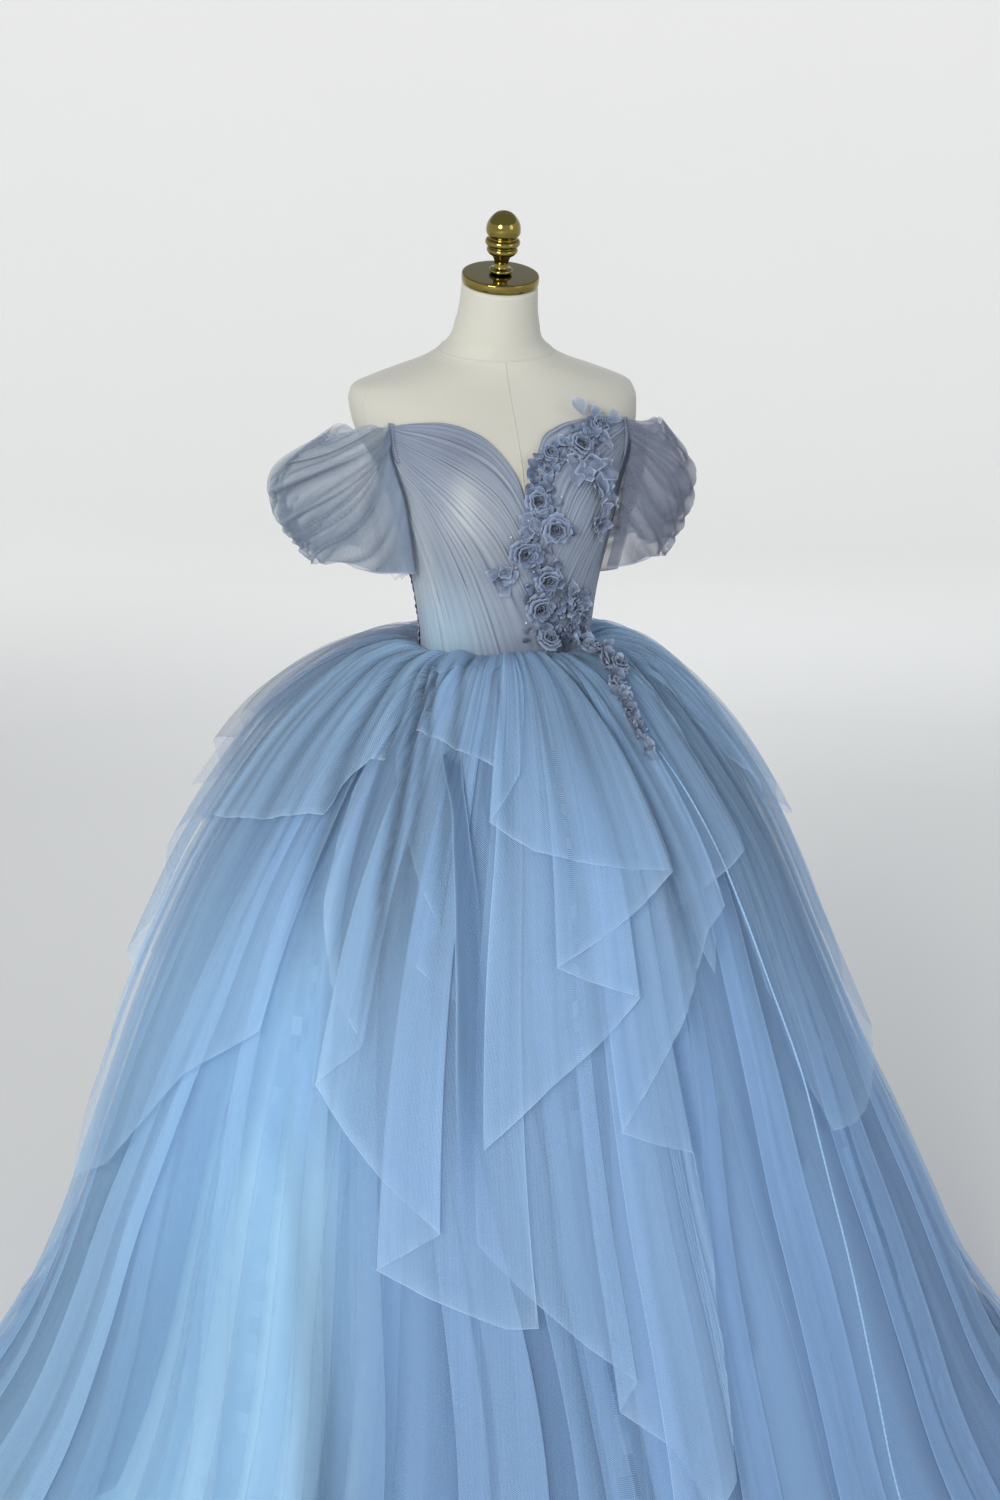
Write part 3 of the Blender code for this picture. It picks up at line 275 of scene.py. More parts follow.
# valleys between the soft folds under the waist: azimuth at .06, .15 and .30 of the profile, depth in mm,
# half width of the side at the smaller and at the larger azimuth
VALLEYS = [
    (-53.0, -45.5, -40.5, 9, 1.2, 2.2), (-49.3, -39.5, -33.0, 13, 1.0, 2.0), (-45.5, -35.0, -29.0, 8, 1.0, 1.8),
    (-62.4, -57.0, -50.0, 12, 1.3, 3.4), (-75.0, -72.0, -69.0, 9, 1.8, 4.4), (-88.0, -86.0, -85.0, 8, 2.0, 4.0),
    (-33.0, -27.0, -22.0, 6, 1.3, 2.6), (-17.0, -13.0, -10.0, 4, 1.0, 2.4), (-2.0, -1.0, 1.0, 4, 1.0, 2.8),
    (7.0, 9.0, 11.0, 3, 1.5, 3.0), (12.5, 18.6, 21.5, 14, 0.8, 2.2), (22.0, 24.5, 26.5, 6, 1.0, 2.6),
    (40.0, 36.5, 34.5, 5, 1.2, 2.8), (55.5, 47.0, 44.5, 11, 1.2, 3.4), (62.0, 54.5, 53.5, 9, 1.3, 3.4),
    (71.0, 66.0, 64.0, 8, 1.4, 3.6), (81.0, 78.0, 77.0, 9, 1.8, 4.0), (-98.0, -97.0, -96.0, 9, 1.8, 3.8),
    (-109.0, -108.0, -107.0, 8, 2.2, 3.2), (-119.0, -120.0, -119.0, 10, 1.6, 3.8), (-133.0, -131.0, -131.0, 8, 2.0, 4.0),
    (-144.0, -145.0, -143.0, 10, 1.4, 3.6), (-156.0, -155.0, -157.0, 8, 2.4, 3.4), (-169.0, -168.0, -170.0, 9, 1.6, 4.2),
    (93.0, 91.0, 90.0, 9, 3.6, 1.6), (104.0, 102.0, 103.0, 8, 3.8, 1.8), (114.0, 115.0, 114.0, 10, 3.4, 1.4),
    (128.0, 127.0, 128.0, 8, 4.0, 2.0), (139.0, 140.0, 139.0, 10, 3.2, 1.5), (151.0, 150.0, 152.0, 9, 3.8, 1.8),
    (164.0, 163.0, 162.0, 8, 4.0, 1.6), (177.0, 177.0, 176.0, 9, 3.0, 1.6),
]


def pouf(az, s):
    """Depth of the valleys between the soft folds near the waist, in metres."""
    az, s = np.broadcast_arrays(np.asarray(az, float), np.asarray(s, float))
    out = np.zeros(az.shape)
    for a0, a1, a2, dep, wa, wb in VALLEYS:
        d = (az - hermite((0.06, 0.15, 0.30), (a0, a1, a2), s) + 180.0) % 360.0 - 180.0
        w = np.where(d < 0, wa, wb) * 0.78 * (1 + 0.5 * smooth01(s / 0.4))
        out = np.maximum(out, 1.15 * dep / 1000 * np.exp(-np.abs(d / w) ** 1.6))
    a = np.radians(az)
    crest = (0.0021 * np.sin(7 * a + 1.3) + 0.0018 * np.sin(11 * a + 4.1) + 0.0015 * np.sin(17 * a + 0.6)
             + 0.0011 * np.sin(27 * a + 2.2) + 0.0007 * np.sin(43 * a + 5.0))
    return out * smooth01(s / 0.045) * (1 - smooth01((s - 0.12) / 0.42)) - crest * np.exp(-(((s - 0.036) / 0.026) ** 2))


# painted shade of sharp creases: azimuth at .06, .15 and .30 of the profile, start, end, half width in degrees,
# strength
CREASES = [
    (17.2, 18.4, 20.0, 0.050, 0.36, 0.9, 0.50), (-43.3, -40.6, -38.5, 0.035, 0.19, 0.8, 0.42), (-46.6, -43.4, -41.5, 0.030, 0.17, 0.7, 0.36),
    (-38.1, -38.4, -37.0, 0.035, 0.18, 0.8, 0.42), (-18.4, -17.6, -17.0, 0.055, 0.15, 0.6, 0.36), (-57.0, -51.0, -46.5, 0.040, 0.26, 0.8, 0.28),
    (28.5, 29.5, 31.5, 0.040, 0.30, 0.8, 0.26), (50.0, 43.5, 41.0, 0.050, 0.28, 0.9, 0.30), (66.0, 60.5, 57.5, 0.045, 0.34, 1.0, 0.32),
    (-68.0, -63.0, -58.5, 0.045, 0.32, 0.9, 0.28), (-81.5, -78.5, -77.0, 0.050, 0.30, 1.0, 0.30), (98.0, 96.5, 95.0, 0.040, 0.31, 1.0, 0.34),
    (121.0, 122.0, 121.5, 0.050, 0.28, 0.9, 0.28), (146.5, 146.0, 148.0, 0.040, 0.34, 1.0, 0.34), (170.5, 171.0, 172.0, 0.050, 0.29, 1.0, 0.28),
    (-103.0, -102.5, -103.0, 0.050, 0.27, 0.9, 0.26), (-114.0, -113.0, -113.5, 0.040, 0.31, 1.0, 0.32), (-138.5, -137.5, -138.0, 0.050, 0.34, 1.0, 0.34),
    (-161.0, -162.0, -163.5, 0.040, 0.27, 0.9, 0.28),
]


def creases(az, s):
    """Shade of the sharp creases, with a faint light rim beside each."""
    az, s = np.broadcast_arrays(np.asarray(az, float), np.asarray(s, float))
    out = np.zeros(az.shape)
    for a0, a1, a2, s0, s1, wide, strong in CREASES:
        d = ((az - hermite((0.06, 0.15, 0.30), (a0, a1, a2), s) + 180.0) % 360.0 - 180.0) / wide
        on = smooth01((s - s0) / 0.03) * smooth01((s1 - s) / 0.09)
        out += strong * on * (np.exp(-d**2) - 0.30 * np.exp(-((d - 2.1) ** 2)))
    return out


def skirt_at(az, s, off):
    """Point at a distance off along the outward normal of the skirt's shape before its folds."""
    az, s, off = np.broadcast_arrays(np.asarray(az, float), np.asarray(s, float), np.asarray(off, float))
    r, z, dx = skirt_base(az, s)
    nr, nz = skirt_normal(s)
    a = np.radians(az)
    rr = r + off * nr
    return vec(dx + rr * np.sin(a), -rr * np.cos(a), np.maximum(z + off * nz, 0.0055))


def noise1(x, seed, octaves=3):
    """Smooth repeatable noise of one variable, about -1 to 1."""
    rng = np.random.default_rng(seed)
    out, amp, tot = np.zeros(np.shape(x)), 1.0, 0.0
    for k in range(octaves):
        f, p = 2.0**k * (0.8 + 0.4 * rng.random()), rng.random() * 6.283
        f2, p2 = f * 1.618, rng.random() * 6.283
        out = out + amp * 0.5 * (np.sin(f * x + p) + np.sin(f2 * x + p2))
        tot += amp
        amp *= 0.55
    return out / tot


# ------------------------------------------------------------------ meshes
def finish_mesh(me, verts, quads, uv, attrs, mat, smooth=True):
    me.vertices.add(len(verts))
    me.vertices.foreach_set("co", np.asarray(verts, np.float32).ravel())
    n = len(quads)
    me.loops.add(n * 4)
    me.loops.foreach_set("vertex_index", np.asarray(quads, np.int32).ravel())
    me.polygons.add(n)
    me.polygons.foreach_set("loop_start", np.arange(n, dtype=np.int32) * 4)
    me.update(calc_edges=True)
    if smooth:
        me.polygons.foreach_set("use_smooth", np.ones(n, bool))
    if uv is not None:
        layer = me.uv_layers.new(name="UVMap")
        layer.data.foreach_set("uv", np.asarray(uv, np.float32).ravel())
    for key, val in attrs.items():
        at = me.attributes.new(key, "FLOAT", "POINT")
        at.data.foreach_set("value", np.asarray(val, np.float32).ravel())
    me.materials.append(mat)
    me.validate()
    me.update()


def grid_quads(nu, nv, closed, start=0):
    iu, iv = np.arange(nu if closed else nu - 1), np.arange(nv - 1)
    a = (iu[:, None] * nv + iv[None, :]).ravel()
    b = (((iu + 1) % nu)[:, None] * nv + iv[None, :]).ravel()
    return np.stack([a, b, b + 1, a + 1], -1) + start


def facing_out(verts, quads, ref):
    """Turns the faces so that most of the area faces away from the vertical axis at ref."""
    v = verts[quads]
    n = np.cross(v[:, 2] - v[:, 0], v[:, 3] - v[:, 1])
    c = v.mean(1) - np.array(ref)
    c[:, 2] *= 0.25
    return quads[:, ::-1] if (n * c).sum() < 0 else quads


def grid(name, P, mat, closed=False, uv=None, ref=(0, 0, 0.9), **attrs):
    """One sheet of cloth through a grid of points [column][row]; uv in metres."""
    nu, nv = P.shape[:2]
    verts = P.reshape(-1, 3)
    quads = facing_out(verts, grid_quads(nu, nv, closed), ref)
    uvs = None
    if uv is not None:
        flat = uv.reshape(-1, 2)
        uvs = flat[quads.ravel()].reshape(-1, 4, 2).copy()
        span = uvs[:, :, 0].max(1) - uvs[:, :, 0].min(1)
        wide = span > 0.5 * (flat[:, 0].max() - flat[:, 0].min())
        uvs[wide, :, 0] = uvs[wide, :, 0].min(1, keepdims=True)
    me = bpy.data.meshes.new(name)
    full = {k: np.broadcast_to(np.asarray(v, float), P.shape[:2]) for k, v in attrs.items()}
    finish_mesh(me, verts, quads, uvs, full, mat)
    ob = bpy.data.objects.new(name, me)
    bpy.context.scene.collection.objects.link(ob)
    return ob


class Bag:
    """Several small grids gathered into one mesh."""

    def __init__(self):
        self.v, self.q, self.uv, self.at, self.n = [], [], [], {}, 0

    def add(self, P, closed=False, scale=1.0, **attrs):
        nu, nv = P.shape[:2]
        q = grid_quads(nu, nv, closed)
        U = np.zeros((nu, nv, 2))
        du = np.linalg.norm(np.diff(P, axis=0), axis=-1).mean(1)
        U[1:, :, 0] = np.cumsum(du)[:, None]
        dv = np.linalg.norm(np.diff(P, axis=1), axis=-1).mean(0)
        U[:, 1:, 1] = np.cumsum(dv)[None, :]
        self.v.append(P.reshape(-1, 3))
        self.q.append(q + self.n)
        self.uv.append(U.reshape(-1, 2)[q])
        for k in set(self.at) | set(attrs):
            old = self.at.setdefault(k, np.zeros(self.n))
            new = np.broadcast_to(np.asarray(attrs.get(k, 0.0), float), (nu, nv)).ravel()
            self.at[k] = np.concatenate([old, new])
        self.n += nu * nv

    def build(self, name, mat):
        me = bpy.data.meshes.new(name)
        finish_mesh(me, np.concatenate(self.v), np.concatenate(self.q), np.concatenate(self.uv), self.at, mat)
        ob = bpy.data.objects.new(name, me)
        bpy.context.scene.collection.objects.link(ob)
        return ob


def mesh_area(ob):
    return sum(p.area for p in ob.data.polygons)


def declare(ob, P, closed=False):
    """Size of a sheet's flat cut: hem length, side length and true area."""
    ring = np.concatenate([P, P[:1]]) if closed else P
    hem = max(np.linalg.norm(np.diff(ring[:, -1], axis=0), axis=-1).sum(),
              np.linalg.norm(np.diff(ring[:, 0], axis=0), axis=-1).sum())
    long = np.linalg.norm(np.diff(P, axis=1), axis=-1).sum(1).max()
    area = mesh_area(ob)
    share = area / (hem * long)
    if share > 1.0:
        hem *= share
    if share < 0.32:
        hem *= share / 0.32
    return hem, long, area


# ------------------------------------------------------------------ materials
def start(name):
    m = bpy.data.materials.new(name)
    m.use_nodes = True
    m.node_tree.nodes.clear()
    return m, m.node_tree


def nd(nt, kind, op=None, **sets):
    n = nt.nodes.new(kind)
    if op:
        n.operation = op
    for k, v in sets.items():
        setattr(n, k, v)
    return n


def put(nt, sock, val):
    if isinstance(val, bpy.types.NodeSocket):
        nt.links.new(val, sock)
    else:
        sock.default_value = val


def math_(nt, op, a, b=0.0, c=None, clamp=False):
    n = nd(nt, "ShaderNodeMath", op)
    n.use_clamp = clamp
    put(nt, n.inputs[0], a)
    put(nt, n.inputs[1], b)
    if c is not None:
        put(nt, n.inputs[2], c)
    return n.outputs[0]


def attr(nt, name):
    n = nd(nt, "ShaderNodeAttribute")
    n.attribute_name = name
    return n.outputs["Fac"]


def mixc(nt, fac, a, b, blend="MIX"):
    n = nd(nt, "ShaderNodeMix", data_type="RGBA", blend_type=blend)
    n.clamp_factor = True
    put(nt, n.inputs[0], fac)
    put(nt, n.inputs[6], a if isinstance(a, bpy.types.NodeSocket) else (*a, 1.0))
    put(nt, n.inputs[7], b if isinstance(b, bpy.types.NodeSocket) else (*b, 1.0))
    return n.outputs[2]


def remap(nt, val, a, b, c, d):
    n = nd(nt, "ShaderNodeMapRange")
    n.clamp = True
    put(nt, n.inputs[0], val)
    for k, x in enumerate((a, b, c, d)):
        n.inputs[1 + k].default_value = x
    return n.outputs[0]


def noise_tex(nt, scale, detail=2.0, rough=0.5, coord=None, stretch=None):
    tc = nd(nt, "ShaderNodeTexCoord")
    src = tc.outputs["Object"] if coord is None else coord
    if stretch is not None:
        mp = nd(nt, "ShaderNodeMapping")
        mp.inputs["Scale"].default_value = stretch
        nt.links.new(src, mp.inputs["Vector"])
        src = mp.outputs["Vector"]
    n = nd(nt, "ShaderNodeTexNoise")
    nt.links.new(src, n.inputs["Vector"])
    n.inputs["Scale"].default_value = scale
    n.inputs["Detail"].default_value = detail
    n.inputs["Roughness"].default_value = rough
    return n.outputs["Fac"]


def net(nt, pitch):
    """Hexagonal net over the cloth's own metres: 1 on its threads, 0 in its holes."""
    uv = nd(nt, "ShaderNodeUVMap").outputs["UV"]
    k = 2 * math.pi / pitch
    waves = []
    for x, y in ((1.0, 0.0), (-0.5, 0.8660254), (-0.5, -0.8660254)):
        d = nd(nt, "ShaderNodeVectorMath", "DOT_PRODUCT")
        nt.links.new(uv, d.inputs[0])
        d.inputs[1].default_value = (k * x, k * y, 0.0)
        waves.append(math_(nt, "COSINE", d.outputs["Value"]))
    total = math_(nt, "ADD", math_(nt, "ADD", waves[0], waves[1]), waves[2])
    return remap(nt, total, -1.1, 0.7, 1.0, 0.0)


def weave(nt, pitch):
    """Plain weave over the cloth's own metres, 0 to 1."""
    uv = nd(nt, "ShaderNodeUVMap").outputs["UV"]
    sep = nd(nt, "ShaderNodeSeparateXYZ")
    nt.links.new(uv, sep.inputs[0])
    k = 2 * math.pi / pitch
    a = math_(nt, "SINE", math_(nt, "MULTIPLY", sep.outputs["X"], k))
    b = math_(nt, "SINE", math_(nt, "MULTIPLY", sep.outputs["Y"], k))
    return math_(nt, "MULTIPLY_ADD", math_(nt, "MULTIPLY", a, b), 0.5, 0.5)


def tulle(name, base, other, edge_highlight_col, alpha, edge_alpha=0.30, through=0.35, pitch=0.0016, vary=0.10,
          rough=0.75, sheen=0.25, streak=95.0, crumple=0.5, gathers=0.40):
    """Sheer net. Attributes: dens multiplies how much it hides; edge marks cut and folded edges, making them denser and
    lighter in the edge colour, a painted highlight; dark is painted shade beside a fold and in creases, and below zero
    painted light; tone turns the colour from base to other; fan and down place fine creases along the cloth; near the
    waist, gathers paints thin lines of shade."""
    m, nt = start(name)
    mask = net(nt, pitch)
    dens, edge, tone = attr(nt, "dens"), attr(nt, "edge"), attr(nt, "tone")
    col = mixc(nt, tone, base, other)
    var = noise_tex(nt, 2.6, 1.0, 0.55, stretch=(1.0, 1.0, 0.35))
    lines = nd(nt, "ShaderNodeCombineXYZ")
    nt.links.new(attr(nt, "fan"), lines.inputs[0])
    nt.links.new(math_(nt, "MULTIPLY", attr(nt, "down"), 0.030), lines.inputs[1])
    fine = noise_tex(nt, streak, 3.0, 0.62, coord=lines.outputs[0])
    shade = math_(nt, "MULTIPLY_ADD", var, 1.3 * vary, 1.0 - 0.65 * vary)
    shade = math_(nt, "MULTIPLY", shade, math_(nt, "MULTIPLY_ADD", fine, 0.13, 0.935))
    # dark: painted shade, and painted light where it is below zero
    shade = math_(nt, "MULTIPLY", shade, math_(nt, "SUBTRACT", 1.0, attr(nt, "dark")))
    if gathers:
        # thin dark lines near the waist: painted shade of the fine gathers
        line = remap(nt, noise_tex(nt, 82.0, 2.0, 0.55, coord=lines.outputs[0]), 0.50, 0.66, 0.0, 1.0)
        near = remap(nt, attr(nt, "down"), 0.02, 0.27, gathers, 0.0)
        shade = math_(nt, "MULTIPLY", shade, math_(nt, "SUBTRACT", 1.0, math_(nt, "MULTIPLY", line, near)))
    g = nd(nt, "ShaderNodeCombineColor")
    for k in range(3):
        nt.links.new(shade, g.inputs[k])
    col = mixc(nt, 1.0, col, g.outputs[0], "MULTIPLY")
    # edge colour mixed in along the edges: painted highlight
    col = mixc(nt, math_(nt, "MULTIPLY", edge, 0.70), col, edge_highlight_col)
    a = math_(nt, "MULTIPLY", dens, math_(nt, "MULTIPLY_ADD", mask, alpha * 0.70, alpha * 0.66))
    a = math_(nt, "MULTIPLY", a, math_(nt, "MULTIPLY_ADD", fine, 0.16, 0.92))
    a = math_(nt, "ADD", a, math_(nt, "MULTIPLY", edge, edge_alpha), clamp=True)
    crease = noise_tex(nt, 7.0, 3.0, 0.6, stretch=(1.0, 1.0, 0.40))
    b = nd(nt, "ShaderNodeBump")
    b.inputs["Strength"].default_value = crumple
    b.inputs["Distance"].default_value = 0.020
    nt.links.new(crease, b.inputs["Height"])
    p = nd(nt, "ShaderNodeBsdfPrincipled")
    nt.links.new(b.outputs[0], p.inputs["Normal"])
    nt.links.new(col, p.inputs["Base Color"])
    p.inputs["Roughness"].default_value = rough
    p.inputs["Specular IOR Level"].default_value = 0.25
    p.inputs["Sheen Weight"].default_value = sheen
    p.inputs["Sheen Roughness"].default_value = 0.5
    p.inputs["Sheen Tint"].default_value = (0.75, 0.87, 1.0, 1.0)
    tr = nd(nt, "ShaderNodeBsdfTranslucent")
    nt.links.new(col, tr.inputs["Color"])
    nt.links.new(b.outputs[0], tr.inputs["Normal"])
    body = nd(nt, "ShaderNodeMixShader")
    body.inputs[0].default_value = through
    nt.links.new(p.outputs[0], body.inputs[1])
    nt.links.new(tr.outputs[0], body.inputs[2])
    clear = nd(nt, "ShaderNodeBsdfTransparent")
    mix = nd(nt, "ShaderNodeMixShader")
    nt.links.new(a, mix.inputs[0])
    nt.links.new(clear.outputs[0], mix.inputs[1])
    nt.links.new(body.outputs[0], mix.inputs[2])
    out = nd(nt, "ShaderNodeOutputMaterial")
    nt.links.new(mix.outputs[0], out.inputs["Surface"])
    return m


def cloth(name, base, other=None, deep=None, rough=0.7, pitch=0.0007, bump=0.15, sheen=0.3, vary=0.10,
          sheen_tint=(0.85, 0.92, 1.0), streak=(1, 1, 1), noise_scale=6.0, spec=0.25, depth=0.0004, third=None):
    """Opaque cloth. Attributes: tone turns base to other; the ivory attribute turns it to the third colour, partly the
    ivory form seen through the tulle and partly painted light; deep darkens valleys with painted shade.
    """
    m, nt = start(name)
    col = mixc(nt, attr(nt, "tone"), base, other or base)
    if third is not None:
        col = mixc(nt, attr(nt, "cream"), col, third)
    if deep is not None:
        col = mixc(nt, attr(nt, "deep"), col, deep)
    var = noise_tex(nt, noise_scale, 3.0, 0.55, stretch=streak)
    shade = math_(nt, "MULTIPLY_ADD", var, 2 * vary, 1.0 - vary)
    g = nd(nt, "ShaderNodeCombineColor")
    for k in range(3):
        nt.links.new(shade, g.inputs[k])
    col = mixc(nt, 1.0, col, g.outputs[0], "MULTIPLY")
    w = weave(nt, pitch)
    p = nd(nt, "ShaderNodeBsdfPrincipled")
    nt.links.new(col, p.inputs["Base Color"])
    nt.links.new(math_(nt, "MULTIPLY_ADD", var, 0.16, rough - 0.08), p.inputs["Roughness"])
    p.inputs["Specular IOR Level"].default_value = spec
    p.inputs["Sheen Weight"].default_value = sheen
    p.inputs["Sheen Roughness"].default_value = 0.45
    p.inputs["Sheen Tint"].default_value = (*sheen_tint, 1.0)
    b = nd(nt, "ShaderNodeBump")
    b.inputs["Strength"].default_value = bump
    b.inputs["Distance"].default_value = depth
    nt.links.new(w, b.inputs["Height"])
    nt.links.new(b.outputs[0], p.inputs["Normal"])
    out = nd(nt, "ShaderNodeOutputMaterial")
    nt.links.new(p.outputs[0], out.inputs["Surface"])
    return m


def hard(name, base, worn, rough, metal, scale=30.0, bump=0.05, stretch=None, coat=0.0, wear=(0.62, 0.78)):
    """Metal or paint with soft smudges, fine scratches and wear."""
    m, nt = start(name)
    big = noise_tex(nt, scale, 4.0, 0.6, stretch=stretch)
    fine = noise_tex(nt, scale * 9, 2.0, 0.6, stretch=stretch)
    col = mixc(nt, remap(nt, big, wear[0], wear[1], 0.0, 0.6), base, worn)
    p = nd(nt, "ShaderNodeBsdfPrincipled")
    nt.links.new(col, p.inputs["Base Color"])
    nt.links.new(math_(nt, "MULTIPLY_ADD", big, 0.16, rough - 0.06), p.inputs["Roughness"])
    p.inputs["Metallic"].default_value = metal
    p.inputs["Coat Weight"].default_value = coat
    b = nd(nt, "ShaderNodeBump")
    b.inputs["Strength"].default_value = bump
    b.inputs["Distance"].default_value = 0.0005
    nt.links.new(fine, b.inputs["Height"])
    nt.links.new(b.outputs[0], p.inputs["Normal"])
    out = nd(nt, "ShaderNodeOutputMaterial")
    nt.links.new(p.outputs[0], out.inputs["Surface"])
    return m


SKY = (0.31, 0.51, 0.76)
CYAN = (0.43, 0.67, 0.82)
EDGE_HIGHLIGHT_PALE = (0.60, 0.76, 0.92)
GREY = (0.36, 0.42, 0.52)

# The skirt's tulles are one net in copies that darken from the overlays inwards: painted shade inside the skirt. The
# pale edge colour is the painted highlight along edges.
M_OUT = tulle("tulle_outer", (0.37, 0.57, 0.82), (0.44, 0.67, 0.86), EDGE_HIGHLIGHT_PALE, 0.40, edge_alpha=0.22)
M_MID = tulle("tulle_middle", (0.25, 0.43, 0.70), (0.38, 0.62, 0.82), EDGE_HIGHLIGHT_PALE, 0.46, edge_alpha=0.16)
M_IN = tulle("tulle_inner", (0.18, 0.33, 0.58), (0.34, 0.57, 0.78), EDGE_HIGHLIGHT_PALE, 0.60, edge_alpha=0.10)
M_OVER = tulle("tulle_overlay", (0.41, 0.61, 0.84), (0.46, 0.68, 0.86), (0.62, 0.78, 0.93), 0.38, edge_alpha=0.20)
M_FLAP = tulle("tulle_flap", (0.34, 0.42, 0.56), (0.34, 0.46, 0.66), (0.60, 0.68, 0.80), 0.24, edge_alpha=0.22)
# Its second colour, a dark grey-blue, is painted shade: the right sleeve is turned far toward it.
M_SLEEVE = tulle("tulle_sleeve", (0.33, 0.41, 0.52), (0.20, 0.22, 0.30), (0.50, 0.58, 0.70), 0.34, edge_alpha=0.22,
                 pitch=0.0013, streak=60.0, gathers=0.0)
# Its second, lighter cyan is a painted highlight on the lower front left of the satin.
M_SATIN = cloth("satin_lining", (0.33, 0.53, 0.76), (0.52, 0.76, 0.86), rough=0.42, pitch=0.0005, bump=0.10, sheen=0.35,
                vary=0.05, streak=(1, 1, 0.3), spec=0.4)
# Its deep colour is painted shade; its third, ivory colour is partly the form seen through the tulle, partly painted
# light.
M_BODICE = cloth("bodice_pleated", (0.205, 0.245, 0.325), (0.33, 0.48, 0.58), (0.065, 0.08, 0.125), rough=0.75, pitch=0.0009,
                 bump=0.25, sheen=0.30, vary=0.07, noise_scale=9.0, third=(0.52, 0.54, 0.53))
# Its lighter second colour paints highlight on petal rims and its deep colour paints shade in the flowers' hearts.
M_PETAL = cloth("petal_organza", (0.088, 0.120, 0.200), (0.29, 0.36, 0.50), (0.028, 0.038, 0.075), rough=0.62, pitch=0.0006,
                bump=0.25, sheen=0.45, vary=0.14, noise_scale=60.0)
M_SEAM = cloth("seam_thread", (0.23, 0.39, 0.61), (0.37, 0.54, 0.75), rough=0.6, pitch=0.0006, bump=0.3, sheen=0.3,
               noise_scale=60.0)
M_LEAF = tulle("leaf_organza", (0.24, 0.30, 0.43), (0.31, 0.38, 0.53), (0.58, 0.66, 0.80), 0.66, edge_alpha=0.3,
               pitch=0.0009, gathers=0.0)
M_IVORY = cloth("form_ivory", (0.50, 0.495, 0.44), (0.46, 0.45, 0.385), rough=0.72, pitch=0.0008, bump=0.12, sheen=0.15,
                sheen_tint=(1, 0.98, 0.92), vary=0.035, noise_scale=7.0)
# The gold's colour is far darker than polished brass, with darker patches across it: painted dark reflection of a dark
# room.
M_GOLD = hard("gold_polished", (0.235, 0.185, 0.050), (0.16, 0.12, 0.035), 0.07, 1.0, 26.0, 0.04, coat=0.08)
M_STAND = hard("stand_paint", (0.78, 0.76, 0.70), (0.58, 0.56, 0.50), 0.38, 0.0, 9.0, 0.06, coat=0.15)
M_ZIP = hard("zip_enamel", (0.34, 0.41, 0.58), (0.55, 0.58, 0.64), 0.30, 0.35, 160.0, 0.05, coat=0.3, wear=(0.58, 0.7))
M_TAPE = cloth("zip_tape_cloth", (0.33, 0.40, 0.58), (0.30, 0.36, 0.52), rough=0.8, pitch=0.0008, bump=0.4, sheen=0.2,
               noise_scale=40.0)


def crystal(name):
    m, nt = start(name)
    p = nd(nt, "ShaderNodeBsdfPrincipled")
    col = mixc(nt, noise_tex(nt, 220.0), (0.75, 0.82, 0.95), (0.95, 0.97, 1.0))
    nt.links.new(col, p.inputs["Base Color"])
    p.inputs["Roughness"].default_value = 0.06
    p.inputs["Transmission Weight"].default_value = 0.5
    p.inputs["IOR"].default_value = 1.6
    out = nd(nt, "ShaderNodeOutputMaterial")
    nt.links.new(p.outputs[0], out.inputs["Surface"])
    return m


M_BEAD = crystal("crystal_bead")


def place(ob, body, slot, *nodes):
    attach(ob, body)
    if nodes:
        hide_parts(*nodes)
    return ob


# ------------------------------------------------------------------ camera, light, floor
def camera():
    az, dist, height, pitch, focal, axis = -13.0, 2.78, 1.73, 15.7, 2083.0, 505.0
    t = math.radians(az)
    at = Vector((dist * math.sin(t), -dist * math.cos(t), height))
    fa = math.atan2(-at[1], -at[0]) + math.atan((axis - 500.0) / focal)
    p = math.radians(pitch)
    fwd = Vector((math.cos(fa) * math.cos(p), math.sin(fa) * math.cos(p), -math.sin(p)))
    cam = bpy.data.cameras.new("camera")
    cam.lens, cam.sensor_width, cam.sensor_fit = 50.0, 36.0, "AUTO"
    cam.clip_start, cam.clip_end = 0.05, 100.0
    ob = bpy.data.objects.new("camera", cam)
    ob.location = at
    ob.rotation_euler = fwd.to_track_quat("-Z", "Y").to_euler()
    bpy.context.scene.collection.objects.link(ob)
    bpy.context.scene.camera = ob


def area_light(name, at, to, size, power, color):
    li = bpy.data.lights.new(name, "AREA")
    li.shape, li.size, li.energy, li.color = "DISK", size, power, color
    ob = bpy.data.objects.new(name, li)
    ob.location = at
    ob.rotation_euler = (Vector(to) - Vector(at)).to_track_quat("-Z", "Y").to_euler()
    bpy.context.scene.collection.objects.link(ob)
    return ob


